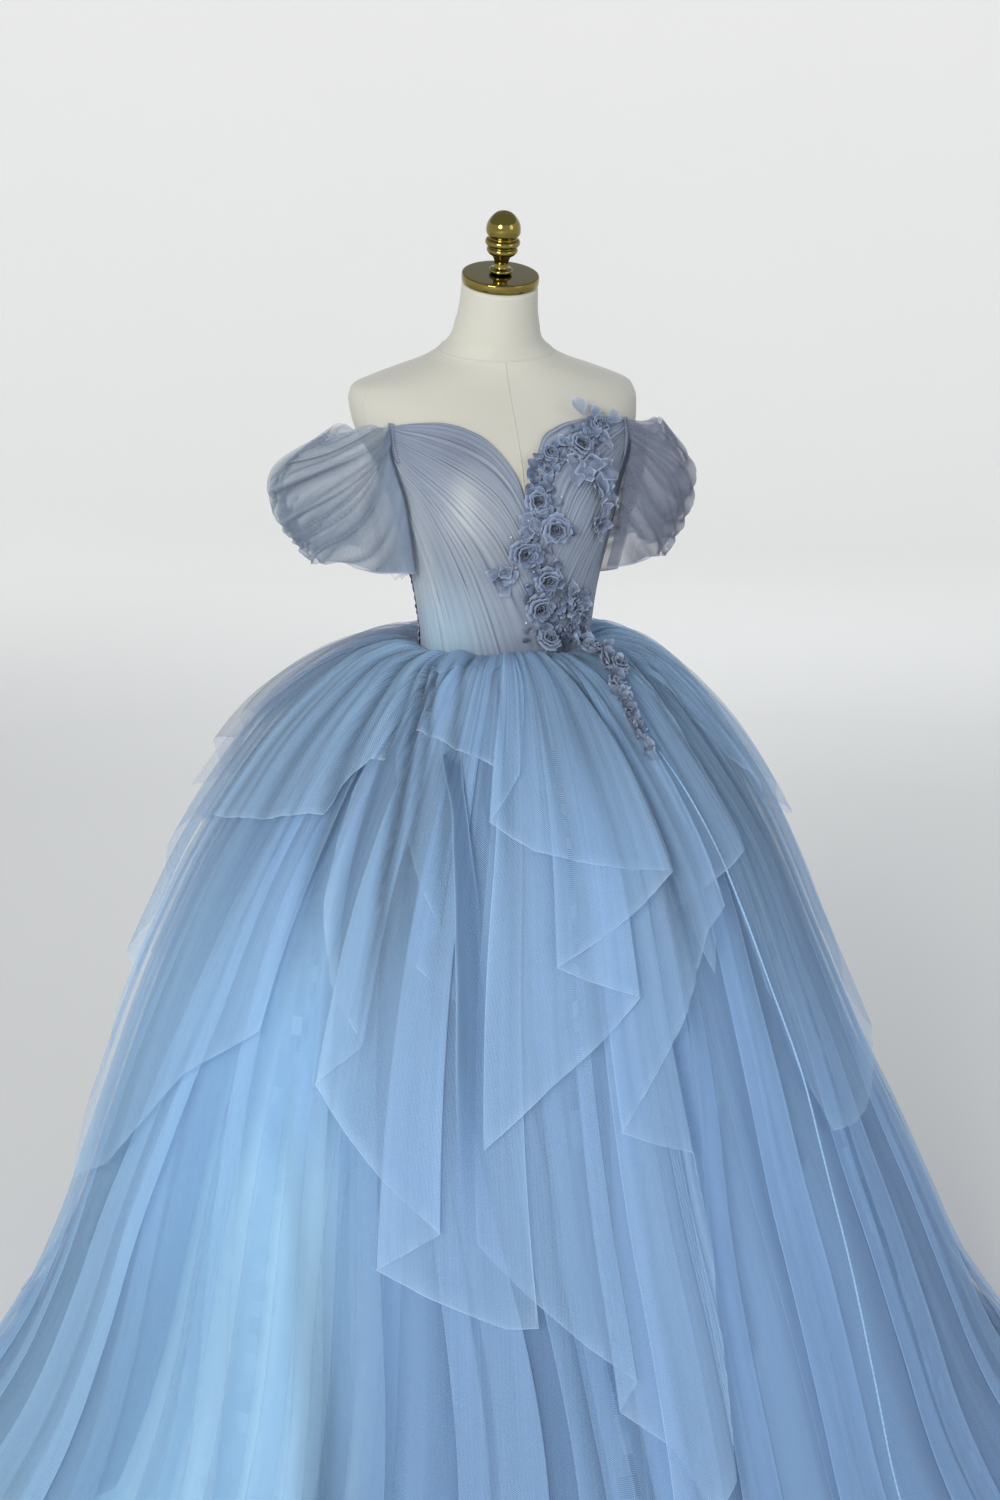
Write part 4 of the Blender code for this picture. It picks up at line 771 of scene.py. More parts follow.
def studio():
    m, nt = start("floor_pale")
    p = nd(nt, "ShaderNodeBsdfPrincipled")
    col = mixc(nt, noise_tex(nt, 0.5), (0.66, 0.66, 0.645), (0.69, 0.69, 0.675))
    nt.links.new(col, p.inputs["Base Color"])
    p.inputs["Roughness"].default_value = 0.9
    p.inputs["Specular IOR Level"].default_value = 0.1
    p.inputs["Emission Color"].default_value = (1.0, 1.0, 0.985, 1.0)
    nt.links.new(math_(nt, "MULTIPLY", attr(nt, "glow"), 0.31), p.inputs["Emission Strength"])
    out = nd(nt, "ShaderNodeOutputMaterial")
    nt.links.new(p.outputs[0], out.inputs["Surface"])
    prof = [(0.0, 0.0), (1.2, 0.0), (2.4, 0.0), (3.2, 0.0), (3.9, 0.0), (4.6, 0.0), (5.3, 0.0), (5.9, 0.0), (6.5, 0.0)]
    prof += [(6.5 + 3.0 * math.sin(a), 3.0 - 3.0 * math.cos(a)) for a in np.linspace(0.05, math.pi / 2, 16)]
    prof += [(9.5, 6.0)]
    t = np.radians(np.arange(0, 360, 3.75))
    P = np.array([[(r * math.sin(a), -r * math.cos(a), z) for r, z in prof] for a in t])
    P[:, 0] = (0.0, 0.0, 0.0)
    far = smooth01((np.array([q[0] + q[1] for q in prof]) - 3.2) / 3.6)
    ob = grid("floor", P, m, closed=True, glow=far[None] + 0 * t[:, None])
    ob.data.flip_normals()
    w = bpy.data.worlds.new("studio_air")
    w.use_nodes = True
    w.node_tree.nodes["Background"].inputs[0].default_value = (0.86, 0.91, 1.0, 1.0)
    w.node_tree.nodes["Background"].inputs[1].default_value = 0.44
    bpy.context.scene.world = w
    area_light("key", (-3.6, -5.2, 3.3), (0.0, 0.0, 0.75), 2.6, 325.0, (1.0, 0.985, 0.96))
    area_light("fill", (3.9, -4.3, 2.7), (0.0, 0.0, 0.6), 2.6, 36.0, (0.88, 0.93, 1.0))
    rim = area_light("rim", (1.8, 4.6, 3.6), (0.0, 0.0, 1.0), 2.4, 90.0, (0.95, 0.97, 1.0))
    rim.visible_glossy = False
    sc = bpy.context.scene
    sc.view_settings.view_transform = "Standard"
    sc.cycles.transparent_max_bounces = 32


camera()
studio()


# ------------------------------------------------------------------ dress form and stand
def lathe(prof, count, at, ref_tilt=0.0):
    """Points of a turned piece: profile of (height, radius) about an axis that leans by ref_tilt."""
    k = 1 / math.sqrt(1 + ref_tilt**2)
    t = np.arange(count) * 2 * math.pi / count
    h = np.array([q[0] for q in prof])[None, :]
    r = np.array([q[1] for q in prof])[None, :]
    x, y = r * np.cos(t)[:, None], r * np.sin(t)[:, None]
    axis = np.stack([0 * h, -ref_tilt * k * h, k * h], -1) + np.array(at)
    return axis + np.stack([x, y * k, y * k * ref_tilt], -1)


def sampled(table, n):
    t = np.array(table, float)
    d = np.concatenate([[0], np.cumsum(np.hypot(np.diff(t[:, 0]), np.diff(t[:, 1]) * 1.0))])
    q = np.linspace(0, d[-1], n)
    return list(zip(hermite(d, t[:, 0], q), np.maximum(hermite(d, t[:, 1], q), 0.0)))


CAP_BASE = np.array((0.0, 0.030 - 0.0006 * LEAN, 1.5806))


def dress_form():
    zs = np.unique(np.concatenate([np.linspace(0.880, 0.94, 12), np.linspace(0.94, 1.40, 44),
                                   np.linspace(1.40, 1.51, 40), np.linspace(1.51, 1.580, 14)]))
    ang = np.arange(0, 360, 2.25)
    P = form_point(zs[None, :], ang[:, None])
    low = P[:, :1] * [0.0, 0.0, 1.0] + [0, 0.004, 0]
    mid = 0.5 * (P[:, :1] + low)
    high = np.repeat(P[:, -1:].mean(0, keepdims=True), len(ang), 0)
    P = np.concatenate([low, mid, P, 0.5 * (P[:, -1:] + high), high], 1)
    r = np.hypot(P[..., 0], P[..., 1])
    uv = vec(np.radians(ang)[:, None] * 0.14 + 0 * r, P[..., 2])
    tone = 0.5 + 0.5 * noise1(P[..., 2] * 20 + np.radians(ang)[:, None] * 2, 4)
    ob = grid("form_body", P, M_IVORY, closed=True, uv=uv, ref=(0, 0.01, 1.2), tone=0.35 * tone)
    place(ob, "gown", "form_fabric", "form_torso")
    # raised seams: centre front, centre back, neck and armhole lines
    bag = Bag()

    def welt(zz, aa, wide=0.0011, high=0.0007):
        c = form_off(zz, aa, np.zeros(zz.shape))
        n = form_normal(zz, aa)
        along = unit(np.gradient(c, axis=0))
        side = unit(np.cross(n, along))
        prof = [(-1.6, -0.4), (-1.0, 0.55), (0.0, 1.0), (1.0, 0.55), (1.6, -0.4)]
        Q = np.stack([c + side * (u * wide) + n * (v * high) for u, v in prof], 1)
        bag.add(Q, tone=0.7)

    zz = np.linspace(1.05, 1.4835, 60)
    welt(zz, np.full(zz.shape, 0.0))
    zz = np.linspace(1.05, 1.574, 60)
    welt(zz, np.full(zz.shape, 180.0))
    aa = np.linspace(-180, 180, 121)
    ring = 1.489 + 0.012 * smooth01(np.abs(aa) / 180.0) - 0.0035 * np.cos(np.radians(aa))
    welt(ring, aa)
    for side in (-1, 1):
        u = np.linspace(0, 1, 50)
        welt(1.447 - 0.10 * u**1.2, side * (62.0 + 8 * np.sin(u * math.pi)))
        welt(1.447 - 0.10 * u**1.2, side * (124.0 - 6 * np.sin(u * math.pi)))
    place(bag.build("form_seams", M_IVORY), "gown", "form_fabric")
    # neck cap with a rolled rim, and the turned finial
    R, H = CAP_RADIUS, CAP_RIM
    prof = [(0.0, 0.0), (0.0, R * 0.8), (0.0, R - 0.0016), (0.0003, R - 0.0006), (0.0012, R), (H * 0.5, R + 0.0002),
            (H - 0.0020, R), (H - 0.0008, R - 0.0005), (H - 0.0001, R - 0.0018), (H, R - 0.0035), (H + 0.0001, R * 0.7),
            (H + 0.0003, R * 0.4), (H + 0.0003, 0.0)]
    cap = grid("form_cap", lathe(prof, 96, CAP_BASE, LEAN), M_GOLD, closed=True, ref=tuple(CAP_BASE))
    cap.data.set_sharp_from_angle(angle=math.radians(40))
    place(cap, "gown", "gold", "form_neck_cap")
    k = 1 / math.sqrt(1 + LEAN**2)
    at = CAP_BASE + np.array([0, -LEAN * k, k]) * (CAP_RIM + 0.0003)
    fin = grid("form_finial_turned", lathe(sampled(FINIAL, 110), 64, at, LEAN), M_GOLD, closed=True, ref=tuple(at + [0, 0, 0.04]))
    place(fin, "gown", "gold", "form_finial")
    r = BASE_RADIUS
    prof = [(0.0, 0.0), (0.0, r * 0.9), (0.0, r - 0.002), (0.0016, r - 0.0003), (0.004, r), (0.0075, r - 0.0012),
            (BASE_THICK - 0.001, r - 0.006), (BASE_THICK, r - 0.012), (BASE_THICK + 0.0005, r * 0.5),
            (BASE_THICK + 0.001, 0.034), (BASE_THICK + 0.004, 0.029), (BASE_THICK + 0.012, 0.0235),
            (BASE_THICK + 0.0155, 0.0215), (BASE_THICK + 0.016, 0.0)]
    base = grid("stand_base", lathe(prof, 96, (0, 0, 0)), M_STAND, closed=True, ref=(0, 0, 0.006))
    base.data.set_sharp_from_angle(angle=math.radians(40))
    place(base, "gown", "stand", "form_base")
    z0, z1, q = BASE_THICK + 0.0163, 0.8797, POLE_RADIUS
    prof = [(z0, 0.0), (z0, q + 0.0035), (z0 + 0.002, q + 0.0045), (z0 + 0.016, q + 0.0045), (z0 + 0.018, q + 0.0035),
            (z0 + 0.0185, q), (0.30, q), (0.60, q), (z1 - 0.030, q), (z1 - 0.029, q + 0.006), (z1 - 0.004, q + 0.008),
            (z1, q + 0.008), (z1, 0.0)]
    pole = grid("stand_pole", lathe(prof, 40, (0, 0, 0)), M_STAND, closed=True, ref=(0, 0, 0.45))
    pole.data.set_sharp_from_angle(angle=math.radians(40))
    place(pole, "gown", "stand", "form_pole")


dress_form()


# ------------------------------------------------------------------ bodice
def along_line(points, n):
    """n points spread evenly by length along a line, in (angle, height)."""
    p = np.array(points, float)
    scale = np.array([0.0023, 1.0])
    d = np.concatenate([[0], np.cumsum(np.linalg.norm(np.diff(p * scale, axis=0), axis=1))])
    q = np.linspace(0, d[-1], n)
    return np.stack([np.interp(q, d, p[:, 0]), np.interp(q, d, p[:, 1])], -1)


def coons(A, C, B, D):
    """Patch between side A (t = 0) and C (t = 1), both over p, and edges B (p = 0) and D (p = 1) over t."""
    t = np.linspace(0, 1, len(B))[None, :, None]
    p = np.linspace(0, 1, len(A))[:, None, None]
    return ((1 - t) * A[:, None] + t * C[:, None] + (1 - p) * B[None] + p * D[None]
            - (1 - t) * (1 - p) * A[0] - (1 - t) * p * A[-1] - t * (1 - p) * C[0] - t * p * C[-1])


def pleats(n, per, rng, uneven=0.35):
    """Places along the patch: uneven pleats, each sampled per times; returns place, share, which pleat."""
    w = 1 + uneven * (2 * rng.random(n) - 1)
    e = np.concatenate([[0], np.cumsum(w)]) / w.sum()
    f = np.arange(per) / per
    place_ = (e[:-1, None] + (e[1:] - e[:-1])[:, None] * f[None]).ravel()
    return np.append(place_, 1.0), np.append(np.tile(f, n), 0.0), np.append(np.repeat(np.arange(n), per), n - 1)


def bodice_front(side):
    name = "left" if side < 0 else "right"
    rng = np.random.default_rng(11 if side < 0 else 12)
    seam0 = float(angle_at(np.array(WAIST_Z), np.array(FRONT_SEAM_X)))
    rows = 72
    fine = 60
    aa = np.linspace(50.0, 0.35, fine)
    neck = np.stack([side * aa, top_edge(side * aa)], -1)
    arm = np.array([(50.0, 1.4010), (54.0, 1.3925), (58.0, 1.3825), (62.0, 1.3710), (64.5, 1.3640)])
    A_line = arm * [side, 1]
    aa = np.linspace(64.5, SIDE_SEAM - 0.1, 12)
    D_line = np.concatenate([np.stack([side * aa, top_edge(aa)], -1),
                             [(side * (SIDE_SEAM - 0.1), z) for z in np.linspace(1.33, WAIST_Z + 0.0005, 12)]])
    vv = np.linspace(0, 1, 30)
    zt = float(top_edge(np.array(0.0)))
    seam = [(seam0 * u + side * 0.10, zt + (waist_edge(seam0) - zt) * u) for u in vv]
    aa = np.linspace(seam0, side * (SIDE_SEAM - 0.1), 20)[1:]
    C_line = np.array(seam + [(a, float(waist_edge(a))) for a in aa])
    place_, share, which = pleats(44, 6, rng, 0.80)
    fineA, fineC = along_line(A_line, 400), along_line(C_line, 400)
    # the far side takes the pleats more widely along the waist than along the seam
    grow = place_**0.92
    q = np.linspace(0, 1, 400)
    A = np.stack([np.interp(place_, q, fineA[:, k]) for k in (0, 1)], -1)
    C = np.stack([np.interp(grow, q, fineC[:, k]) for k in (0, 1)], -1)
    B, D = along_line(neck, rows), along_line(D_line, rows)
    t = np.linspace(0, 1, rows)[None, :, None]
    p = place_[:, None, None]
    G = ((1 - t) * A[:, None] + t * C[:, None] + (1 - p) * B[None] + p * D[None]
         - (1 - t) * (1 - p) * A[0] - (1 - t) * p * A[-1] - t * (1 - p) * C[0] - t * p * C[-1])
    t, p = t[..., 0], p[..., 0]
    amp = (0.35 + 1.0 * rng.random(45) ** 1.3)[which][:, None]
    ends = (0.50 + 0.9 * rng.random(45))[which][:, None]
    fade = 1 - 0.65 * smooth01((t - ends) / 0.25)
    body = smooth01(t / 0.05) * (1 - 0.55 * smooth01((p - 0.80) / 0.2) * smooth01((t - 0.3) / 0.3))
    x = (share[:, None] + 0.10 * np.sin(9 * t + which[:, None] * 1.7)) % 1.0
    prof = np.sin(math.pi * np.clip(x, 0, 1) ** 0.75) ** 0.8
    patchy = 0.45 + 0.55 * smooth01(0.5 + 0.9 * noise1(t * 5 + which[:, None] * 2.1, 73 + side, 2))
    high = 0.0018 * amp * fade * (0.45 + 0.55 * body) * patchy
    lift = high * prof + 0.0003 * noise1(p * 260 + 3 * t, 71, 2) * noise1(t * 25 + which[:, None], 72, 2)
    edge = np.minimum(1.0, np.minimum((p + 0.006) * 30, 1.0))
    off = BODICE_OFF + lift * edge + 0.0012 * np.exp(-(t / 0.03) ** 2)
    ang, z = G[..., 0], G[..., 1]
    P = form_off(z, ang, off)
    # deep: painted shade in the pleats' valleys; light: a painted highlight on their crests
    deep = (1 - prof) ** 1.7 * amp * fade * patchy * 1.0 + 0.08 * (1 - amp / 1.35)
    light = np.clip(prof, 0, 1) ** 3 * np.minimum(amp, 1.0) * fade * patchy
    px, pz = P[..., 0], P[..., 2]
    cream = np.zeros(px.shape)
    if side < 0:
        tone = np.exp(-((px + 0.105) / 0.055) ** 2 - ((pz - 1.13) / 0.075) ** 2) * 0.72 * smooth01((SIDE_SEAM - np.abs(ang)) / 30.0)
        cream = 0.34 * np.exp(-((px + 0.080) / 0.016) ** 2 - ((pz - 1.315 - 0.4 * (px + 0.082)) / 0.030) ** 2)
        cream += 0.30 * np.exp(-((px + 0.068) / 0.050) ** 2 - ((pz - 1.285) / 0.065) ** 2)
        cream += 0.09 * np.exp(-((px + 0.030) / 0.05) ** 2 - ((pz - 1.20) / 0.07) ** 2)
    else:
        tone = np.zeros(px.shape)
    if side < 0:
        flank = smooth01((np.abs(ang) - 47.0) / 13.0)
        # painted shade near the sleeve's gather and lower on the left, less on the flank
        deep = deep * (1 - 0.60 * flank) + 0.27 * np.exp(-((px + 0.080) / 0.034) ** 2 - ((pz - 1.376) / 0.026) ** 2)
        deep = deep + 0.06 * np.exp(-((px + 0.045) / 0.035) ** 2 - ((pz - 1.235) / 0.04) ** 2)
        # painted light on the left flank, and painted highlight on the crests, in the ivory colour
        cream = cream + 0.19 * flank * smooth01((1.405 - pz) / 0.05) * smooth01((pz - 1.125) / 0.07)
    cream = cream + 0.17 * light
    # turned edge at the neckline
    a0, zt0 = B[:, 0], B[:, 1]
    roll = [form_off(zt0 - dz, a0, np.full(a0.shape, o)) for o, dz in ((0.0012, 0.010), (0.0014, 0.004), (0.0022, 0.0003), (0.0036, -0.0006))]
    P = np.concatenate([np.stack(roll, 0), P], 0)
    pad = lambda v, q: np.concatenate([np.full((4, v.shape[1]), q), np.broadcast_to(v, (len(place_), v.shape[1]))], 0)
    deep, tone, cream = pad(deep, 0.15), pad(tone, 0.0), pad(cream, 0.0)
    u = np.cumsum(np.concatenate([[0], np.linalg.norm(np.diff(P, axis=0), axis=-1).mean(1)]))
    v = np.cumsum(np.concatenate([[0], np.linalg.norm(np.diff(P, axis=1), axis=-1).mean(0)]))
    uv = vec(u[:, None], v[None, :])
    ob = grid("bodice_front_%s_pleated" % name, P, M_BODICE, uv=uv, ref=(0, 0, 1.25), deep=np.clip(deep, 0, 1),
              tone=np.clip(tone, 0, 1), cream=np.clip(cream, 0, 1))
    place(ob, "gown", "bodice_tulle", "bodice_front_" + name)
    declare(ob, P)


def bodice_back(side):
    name = "left" if side < 0 else "right"
    rng = np.random.default_rng(21 if side < 0 else 22)
    rows = 44
    place_, share, which = pleats(22, 6, rng)
    p = place_[:, None]
    t = np.linspace(0, 1, rows)[None, :]
    half = math.degrees(0.0010 / 0.09)
    ang = (SIDE_SEAM + 0.1) + (180.0 - half - SIDE_SEAM - 0.1) * t
    droop = p + 0.16 * t * np.sin(math.pi * p)
    top, low = top_edge(ang), waist_edge(ang)
    z = top + (low - top) * np.clip(droop, 0, 1)
    ang, z = np.broadcast_arrays(ang * side, z)
    amp = (0.5 + 0.8 * rng.random(23))[which][:, None]
    prof = np.sin(math.pi * ((share[:, None] + 0.1 * np.sin(7 * t + which[:, None])) % 1.0) ** 0.8) ** 0.8
    lift = 0.0022 * amp * prof * np.minimum(1, 40 * p + 0.2)
    P = form_off(z, ang, BODICE_OFF + lift)
    a0, zt0 = ang[0], z[0]
    roll = [form_off(zt0 - dz, a0, np.full(a0.shape, o)) for o, dz in ((0.0024, 0.010), (0.0024, 0.004), (0.0028, 0.0003), (0.0036, -0.0006))]
    P = np.concatenate([np.stack(roll, 0), P], 0)
    # deep: painted shade in the pleats' valleys
    deep = np.concatenate([np.full((4, rows), 0.15), np.broadcast_to((1 - prof) ** 1.5 * amp * 0.8, z.shape)], 0)
    u = np.cumsum(np.concatenate([[0], np.linalg.norm(np.diff(P, axis=0), axis=-1).mean(1)]))
    v = np.cumsum(np.concatenate([[0], np.linalg.norm(np.diff(P, axis=1), axis=-1).mean(0)]))
    ob = grid("bodice_back_%s_pleated" % name, P, M_BODICE, uv=vec(u[:, None], v[None, :]), ref=(0, 0, 1.25), deep=deep, tone=0.0,
              cream=0.0)
    place(ob, "gown", "bodice_tulle", "bodice_back_" + name)
    declare(ob, P)


for _side in (-1, 1):
    bodice_front(_side)
    bodice_back(_side)


# ------------------------------------------------------------------ sleeves
def clear_of_form(P, room):
    x, y, z = P[..., 0], P[..., 1], P[..., 2]
    half, front, back, mid, sq, _ = columns(FORM, z)
    dy = y - mid
    reach = np.where(dy < 0, mid - front, back - mid)
    val = ((np.abs(x) / half) ** sq + (np.abs(dy) / reach) ** sq) ** (1 / sq)
    d = np.hypot(x, dy)
    need = (d * (1 - 1 / val) < room) & (z > FORM[0][0]) & (z < FORM[-1][0])
    k = np.where(need, (d / val + room) / d, 1.0)
    return vec(x * k, mid + dy * k, z)


def sleeve_point(side, turn, v, off, near=0.0090):
    turn, v, off = np.broadcast_arrays(turn, v, off)
    z_out, z_in, x_out, x_in, yf, yb, ym = columns(SLEEVE, v)
    a = np.radians(turn)
    xc = 0.5 * (x_out + x_in)
    reach = SLEEVE_REACH[side]
    cx, sy = np.cos(a), np.sin(a)
    x = xc + (xc - x_in) * cx
    x = np.where(cx > 0, xc + (x_out * reach + (1 - reach) * 0.215 - xc) * cx, x)
    y = np.where(sy > 0, ym - (ym - yf) * sy, ym - (yb - ym) * sy)
    z = z_in + (z_out - z_in) * smooth01(0.62 + 0.5 * cx + 0.42 * np.abs(sy))
    lap = (turn - 330.0 + 180.0) % 360.0 - 180.0
    z = z + (0.020 * np.exp(-((turn - 74.0) / 30.0) ** 2) - 0.012 * np.exp(-(lap / 48.0) ** 2)) * (1 - v) ** 2.2
    n = unit(vec(cx / np.maximum(0.5 * (x_out - x_in), 0.02), -sy / np.maximum(0.5 * (yb - yf), 0.02), 0 * cx))
    p = vec(x, y, z) + n * off[..., None]
    # back gather
    mid, ang, top, drop = GATHERS[1]
    pull = (np.exp(-((turn - mid) / 30.0) ** 2) * np.maximum(1 - v, 0.0) ** 1.1)[..., None]
    goal = form_off(top - drop * v, np.full(turn.shape, ang), near + 0.15 * off)
    p = p + (goal - p) * 0.93 * pull
    # front gather: the folds fan out from a short line at the bodice's corner, and the last one runs down its side
    zg = hermite((0.0, 0.35, 0.72, 0.86, 1.0), (1.4025, 1.383, 1.357, 1.300, 1.214), v)
    ag = hermite((0.0, 0.35, 0.72, 0.86, 1.0), (49.0, 51.5, 56.0, 62.5, 68.0) if side < 0 else (49.0, 50.5, 53.0, 56.0, 59.0), v)
    ahead = turn - 126.0
    front = np.clip(1 + ahead / (118.0 - 14.0 * v), 0, 1) ** (1.45 + 0.25 * v)
    w = np.where(turn < 232, np.where(ahead < 0, front, np.exp(-(ahead / 30.0) ** 2)), 0.0) * (1.0 - 0.10 * v)
    ag = ag + np.clip(ahead, 0, 60) * 0.35
    goal = form_off(zg, ag, near + 0.15 * off)
    puff = (4 * w * (1 - w))[..., None] * np.array([0.35, -1.0, 0.0]) * 0.026
    p = p + (goal - p) * np.clip(w, 0, 0.995)[..., None] + puff
    p = clear_of_form(p, SLEEVE_ROOM * 0.75 + 0.5 * off)
    return vec(side * p[..., 0], p[..., 1], p[..., 2])


def sleeve_layer(name, side, seed, base_off, amp, mat, dens, nodes, lobes=13, tone=0.0):
    """One sheer layer: lobes that fan out from the gather, with narrow creases between them."""
    rng = np.random.default_rng(seed)
    turn = np.arange(0, 360, 2.0)[:, None]
    n = 104
    v = np.linspace(0, 1, n)[None, :]
    g1, g2 = np.abs(turn - 126.0), np.abs(turn - 232.0)
    near = np.minimum(g1, g2)
    away = smooth01(near / 95.0)
    away = np.where((turn > 126) & (turn < 232), 0.12, away)
    edges = np.cumsum(0.30 + 1.4 * rng.random(lobes + 1) ** 1.5)
    edges = (edges - edges[0]) / (edges[-1] - edges[0])
    far = np.where(turn < 126, (126 - turn) / 126.0, np.where(turn > 232, (360 - turn) / 128.0, 0.0))
    far = np.where(turn > 232, np.minimum((turn - 232) / 128.0, 1.0), far)
    sweep = 0.42
    vv = (v + sweep * (1 - far)) / (1 + sweep)
    vv = np.clip(vv + 0.030 * np.sin(np.radians(turn * 1.3 + seed * 40)) * v * (1 - v) * 4, 0, 1)
    i = np.clip(np.searchsorted(edges, vv, side="right") - 1, 0, lobes - 1)
    x = (vv - edges[i]) / (edges[i + 1] - edges[i])
    strength = (0.45 + 0.8 * rng.random(lobes))[i]
    skew = (0.55 + 0.9 * rng.random(lobes))[i]
    lobe = np.sin(math.pi * x**skew) ** 0.55
    small = 0.5 + 0.5 * np.cos(2 * math.pi * (x * (2 + (i % 3)) + 0.2 * np.sin(np.radians(turn) * 2)))
    ends = np.minimum(1, np.minimum(8 * v + 0.15, 6 * (1 - v) + 0.35))
    lift = amp * (0.10 + 0.90 * away) * strength * (lobe - 0.62) * ends
    lift = lift + 0.0010 * (small - 0.5) * smooth01(away * 2) * ends
    fine = 0.0010 * np.exp(-near / 26.0) * np.cos(2 * math.pi * v * 24 + seed)
    cuff = 0.0028 * np.exp(-(1 - v) / 0.06) * np.sin(np.radians(turn) * 24 + 2 * np.sin(np.radians(turn) * 3)) * away
    soft = 0.0035 * np.sin(np.radians(turn) * 3 + seed) * np.sin(math.pi * v) * away
    crumple = 0.0007 * away * noise1(np.radians(turn) * 9 + 3 * np.sin(v * 9), seed + 3, 2) * noise1(v * 40 + turn * 0.02, seed + 4, 2)
    P = sleeve_point(side, turn, v, base_off + lift + fine + cuff + soft + crumple)
    P[..., 2] += 0.006 * np.sin(np.radians(turn) * 5 + seed * 2.0) * v**3 * away
    edge = np.zeros((len(turn), n))
    edge[:, -1], edge[:, 0] = 0.9, 0.8
    # crest: painted highlight along one side of the stronger lobes
    crest = np.exp(-((x - 0.90) / 0.035) ** 2) * (strength > 0.6) * (0.25 + 0.75 * away)
    edge = np.clip(edge + 0.75 * crest, 0, 1)
    # dark: painted shade in the creases between lobes, near the gathers and in single folds
    dark = 0.70 * (1 - lobe) ** 1.7 * (0.35 + 0.65 * np.minimum(strength, 1)) * (0.60 + 0.40 * away)
    dark += 0.05 * (1 - small) ** 2 * smooth01(away * 2)
    dark += 0.16 * np.exp(-near / 16.0) * (0.6 + 0.6 * np.cos(2 * math.pi * v * 24 + seed + 1.5))
    dark += (0.10 if side > 0 else 0.0) * np.exp(-((turn - 132.0) / 9.0) ** 2) * smooth01((v - 0.72) / 0.1)
    dark *= 1 - 0.55 * np.exp(-(near / 22.0) ** 2)
    thick = dens * (1 - 0.30 * np.exp(-(near / 20.0) ** 2)) * (0.80 + 1.5 * (1 - lobe) ** 1.2 * (0.35 + 0.65 * away))
    behind = smooth01((turn - 122.0) / 16.0) * (1 - smooth01((turn - 236.0) / 24.0))
    back = smooth01((turn - 236.0) / 24.0) * (1 - smooth01((turn - 318.0) / 30.0))
    if side < 0:
        thick = thick * (1.22 - 0.92 * behind - 0.34 * back)
        thick = thick * (1 + 0.45 * np.exp(-((turn - 100.0) / 24.0) ** 2) * smooth01((v - 0.25) / 0.2))
        thick = thick * (1 + 0.25 * smooth01((v - 0.55) / 0.2))
        # beside: next to the bodice the left sleeve is made denser, its painted shade is taken away and painted light
        # in the edge colour is added
        beside = np.exp(-((turn - 124.0) / 14.0) ** 2) * smooth01((v - 0.12) / 0.2)
        thick, dark = thick * (1 + 0.9 * beside), dark * (1 - 0.8 * beside) - 0.05 * beside
        edge = np.clip(edge + 0.42 * beside, 0, 1)
        dark = dark + 0.08 * np.exp(-((turn - 66.0) / 18.0) ** 2) * smooth01((v - 0.15) / 0.2)
        dark = dark + 0.16 * np.exp(-((turn - 90.0) / 12.0) ** 2) * smooth01((v - 0.30) / 0.15)
    else:
        thick = thick * (1.22 - 0.30 * behind - 0.12 * back)
    uv = vec(np.radians(turn) * 0.16 + 0 * v, 0 * turn + v * 0.21)
    ob = grid(name, P, mat, closed=True, uv=uv, ref=(side * 0.2, 0.05, 1.3), edge=edge, dens=thick, dark=np.clip(dark, 0, 0.7),
              tone=tone, fan=v * 1.1, down=0.3 * np.radians(turn))
    place(ob, "gown", "sleeve_tulle", *nodes)
    declare(ob, P, closed=True)


def sleeve_gather(side):
    """The short band of gathers where a sleeve is stitched to the bodice."""
    q = np.linspace(0, 1, 84)[:, None]
    w = np.linspace(-1, 1, 9)[None, :]
    z = 1.4035 - 0.046 * q
    ang = 49.5 + 6.5 * q + 1.5 * w
    bump = 0.5 + 0.5 * np.cos(q * 2 * math.pi * 15 + 0.5 * np.sin(w * 3))
    off = 0.0074 + 0.0012 * (1 - w**2) * (0.3 + 0.7 * bump) - 0.0010 * np.abs(w) ** 3
    P = form_off(z + 0 * w, side * ang, off)
    ob = grid("sleeve_gather_" + ("left" if side < 0 else "right"), P, M_BODICE, uv=vec(w * 0.004 + 0 * q, q * 0.046 + 0 * w),
              # deep: painted shade in the hollows between the gathers
              ref=(0, 0, 1.3), deep=0.55 * (1 - bump) * (1 - 0.4 * np.abs(w)), tone=0.0, cream=0.0)
    place(ob, "gown", "bodice_tulle")


for _side, _n in ((-1, "left"), (1, "right")):
    # tone toward the sleeve's dark second colour: painted shade, strong on the right sleeve, which is away from the key
    # light, slight on the left
    _sleeve_painted_shade = 0.15 if _side < 0 else 0.85
    sleeve_layer("sleeve_%s_outer" % _n, _side, 31 + _side, 0.0010, 0.0165, M_SLEEVE, 1.0 if _side < 0 else 1.25, ["sleeve_" + _n], 11, _sleeve_painted_shade)
    sleeve_layer("sleeve_%s_inner" % _n, _side, 37 + _side, -0.0095, 0.0120, M_SLEEVE, 0.9 if _side < 0 else 1.25, [], 8, _sleeve_painted_shade)
    sleeve_gather(_side)


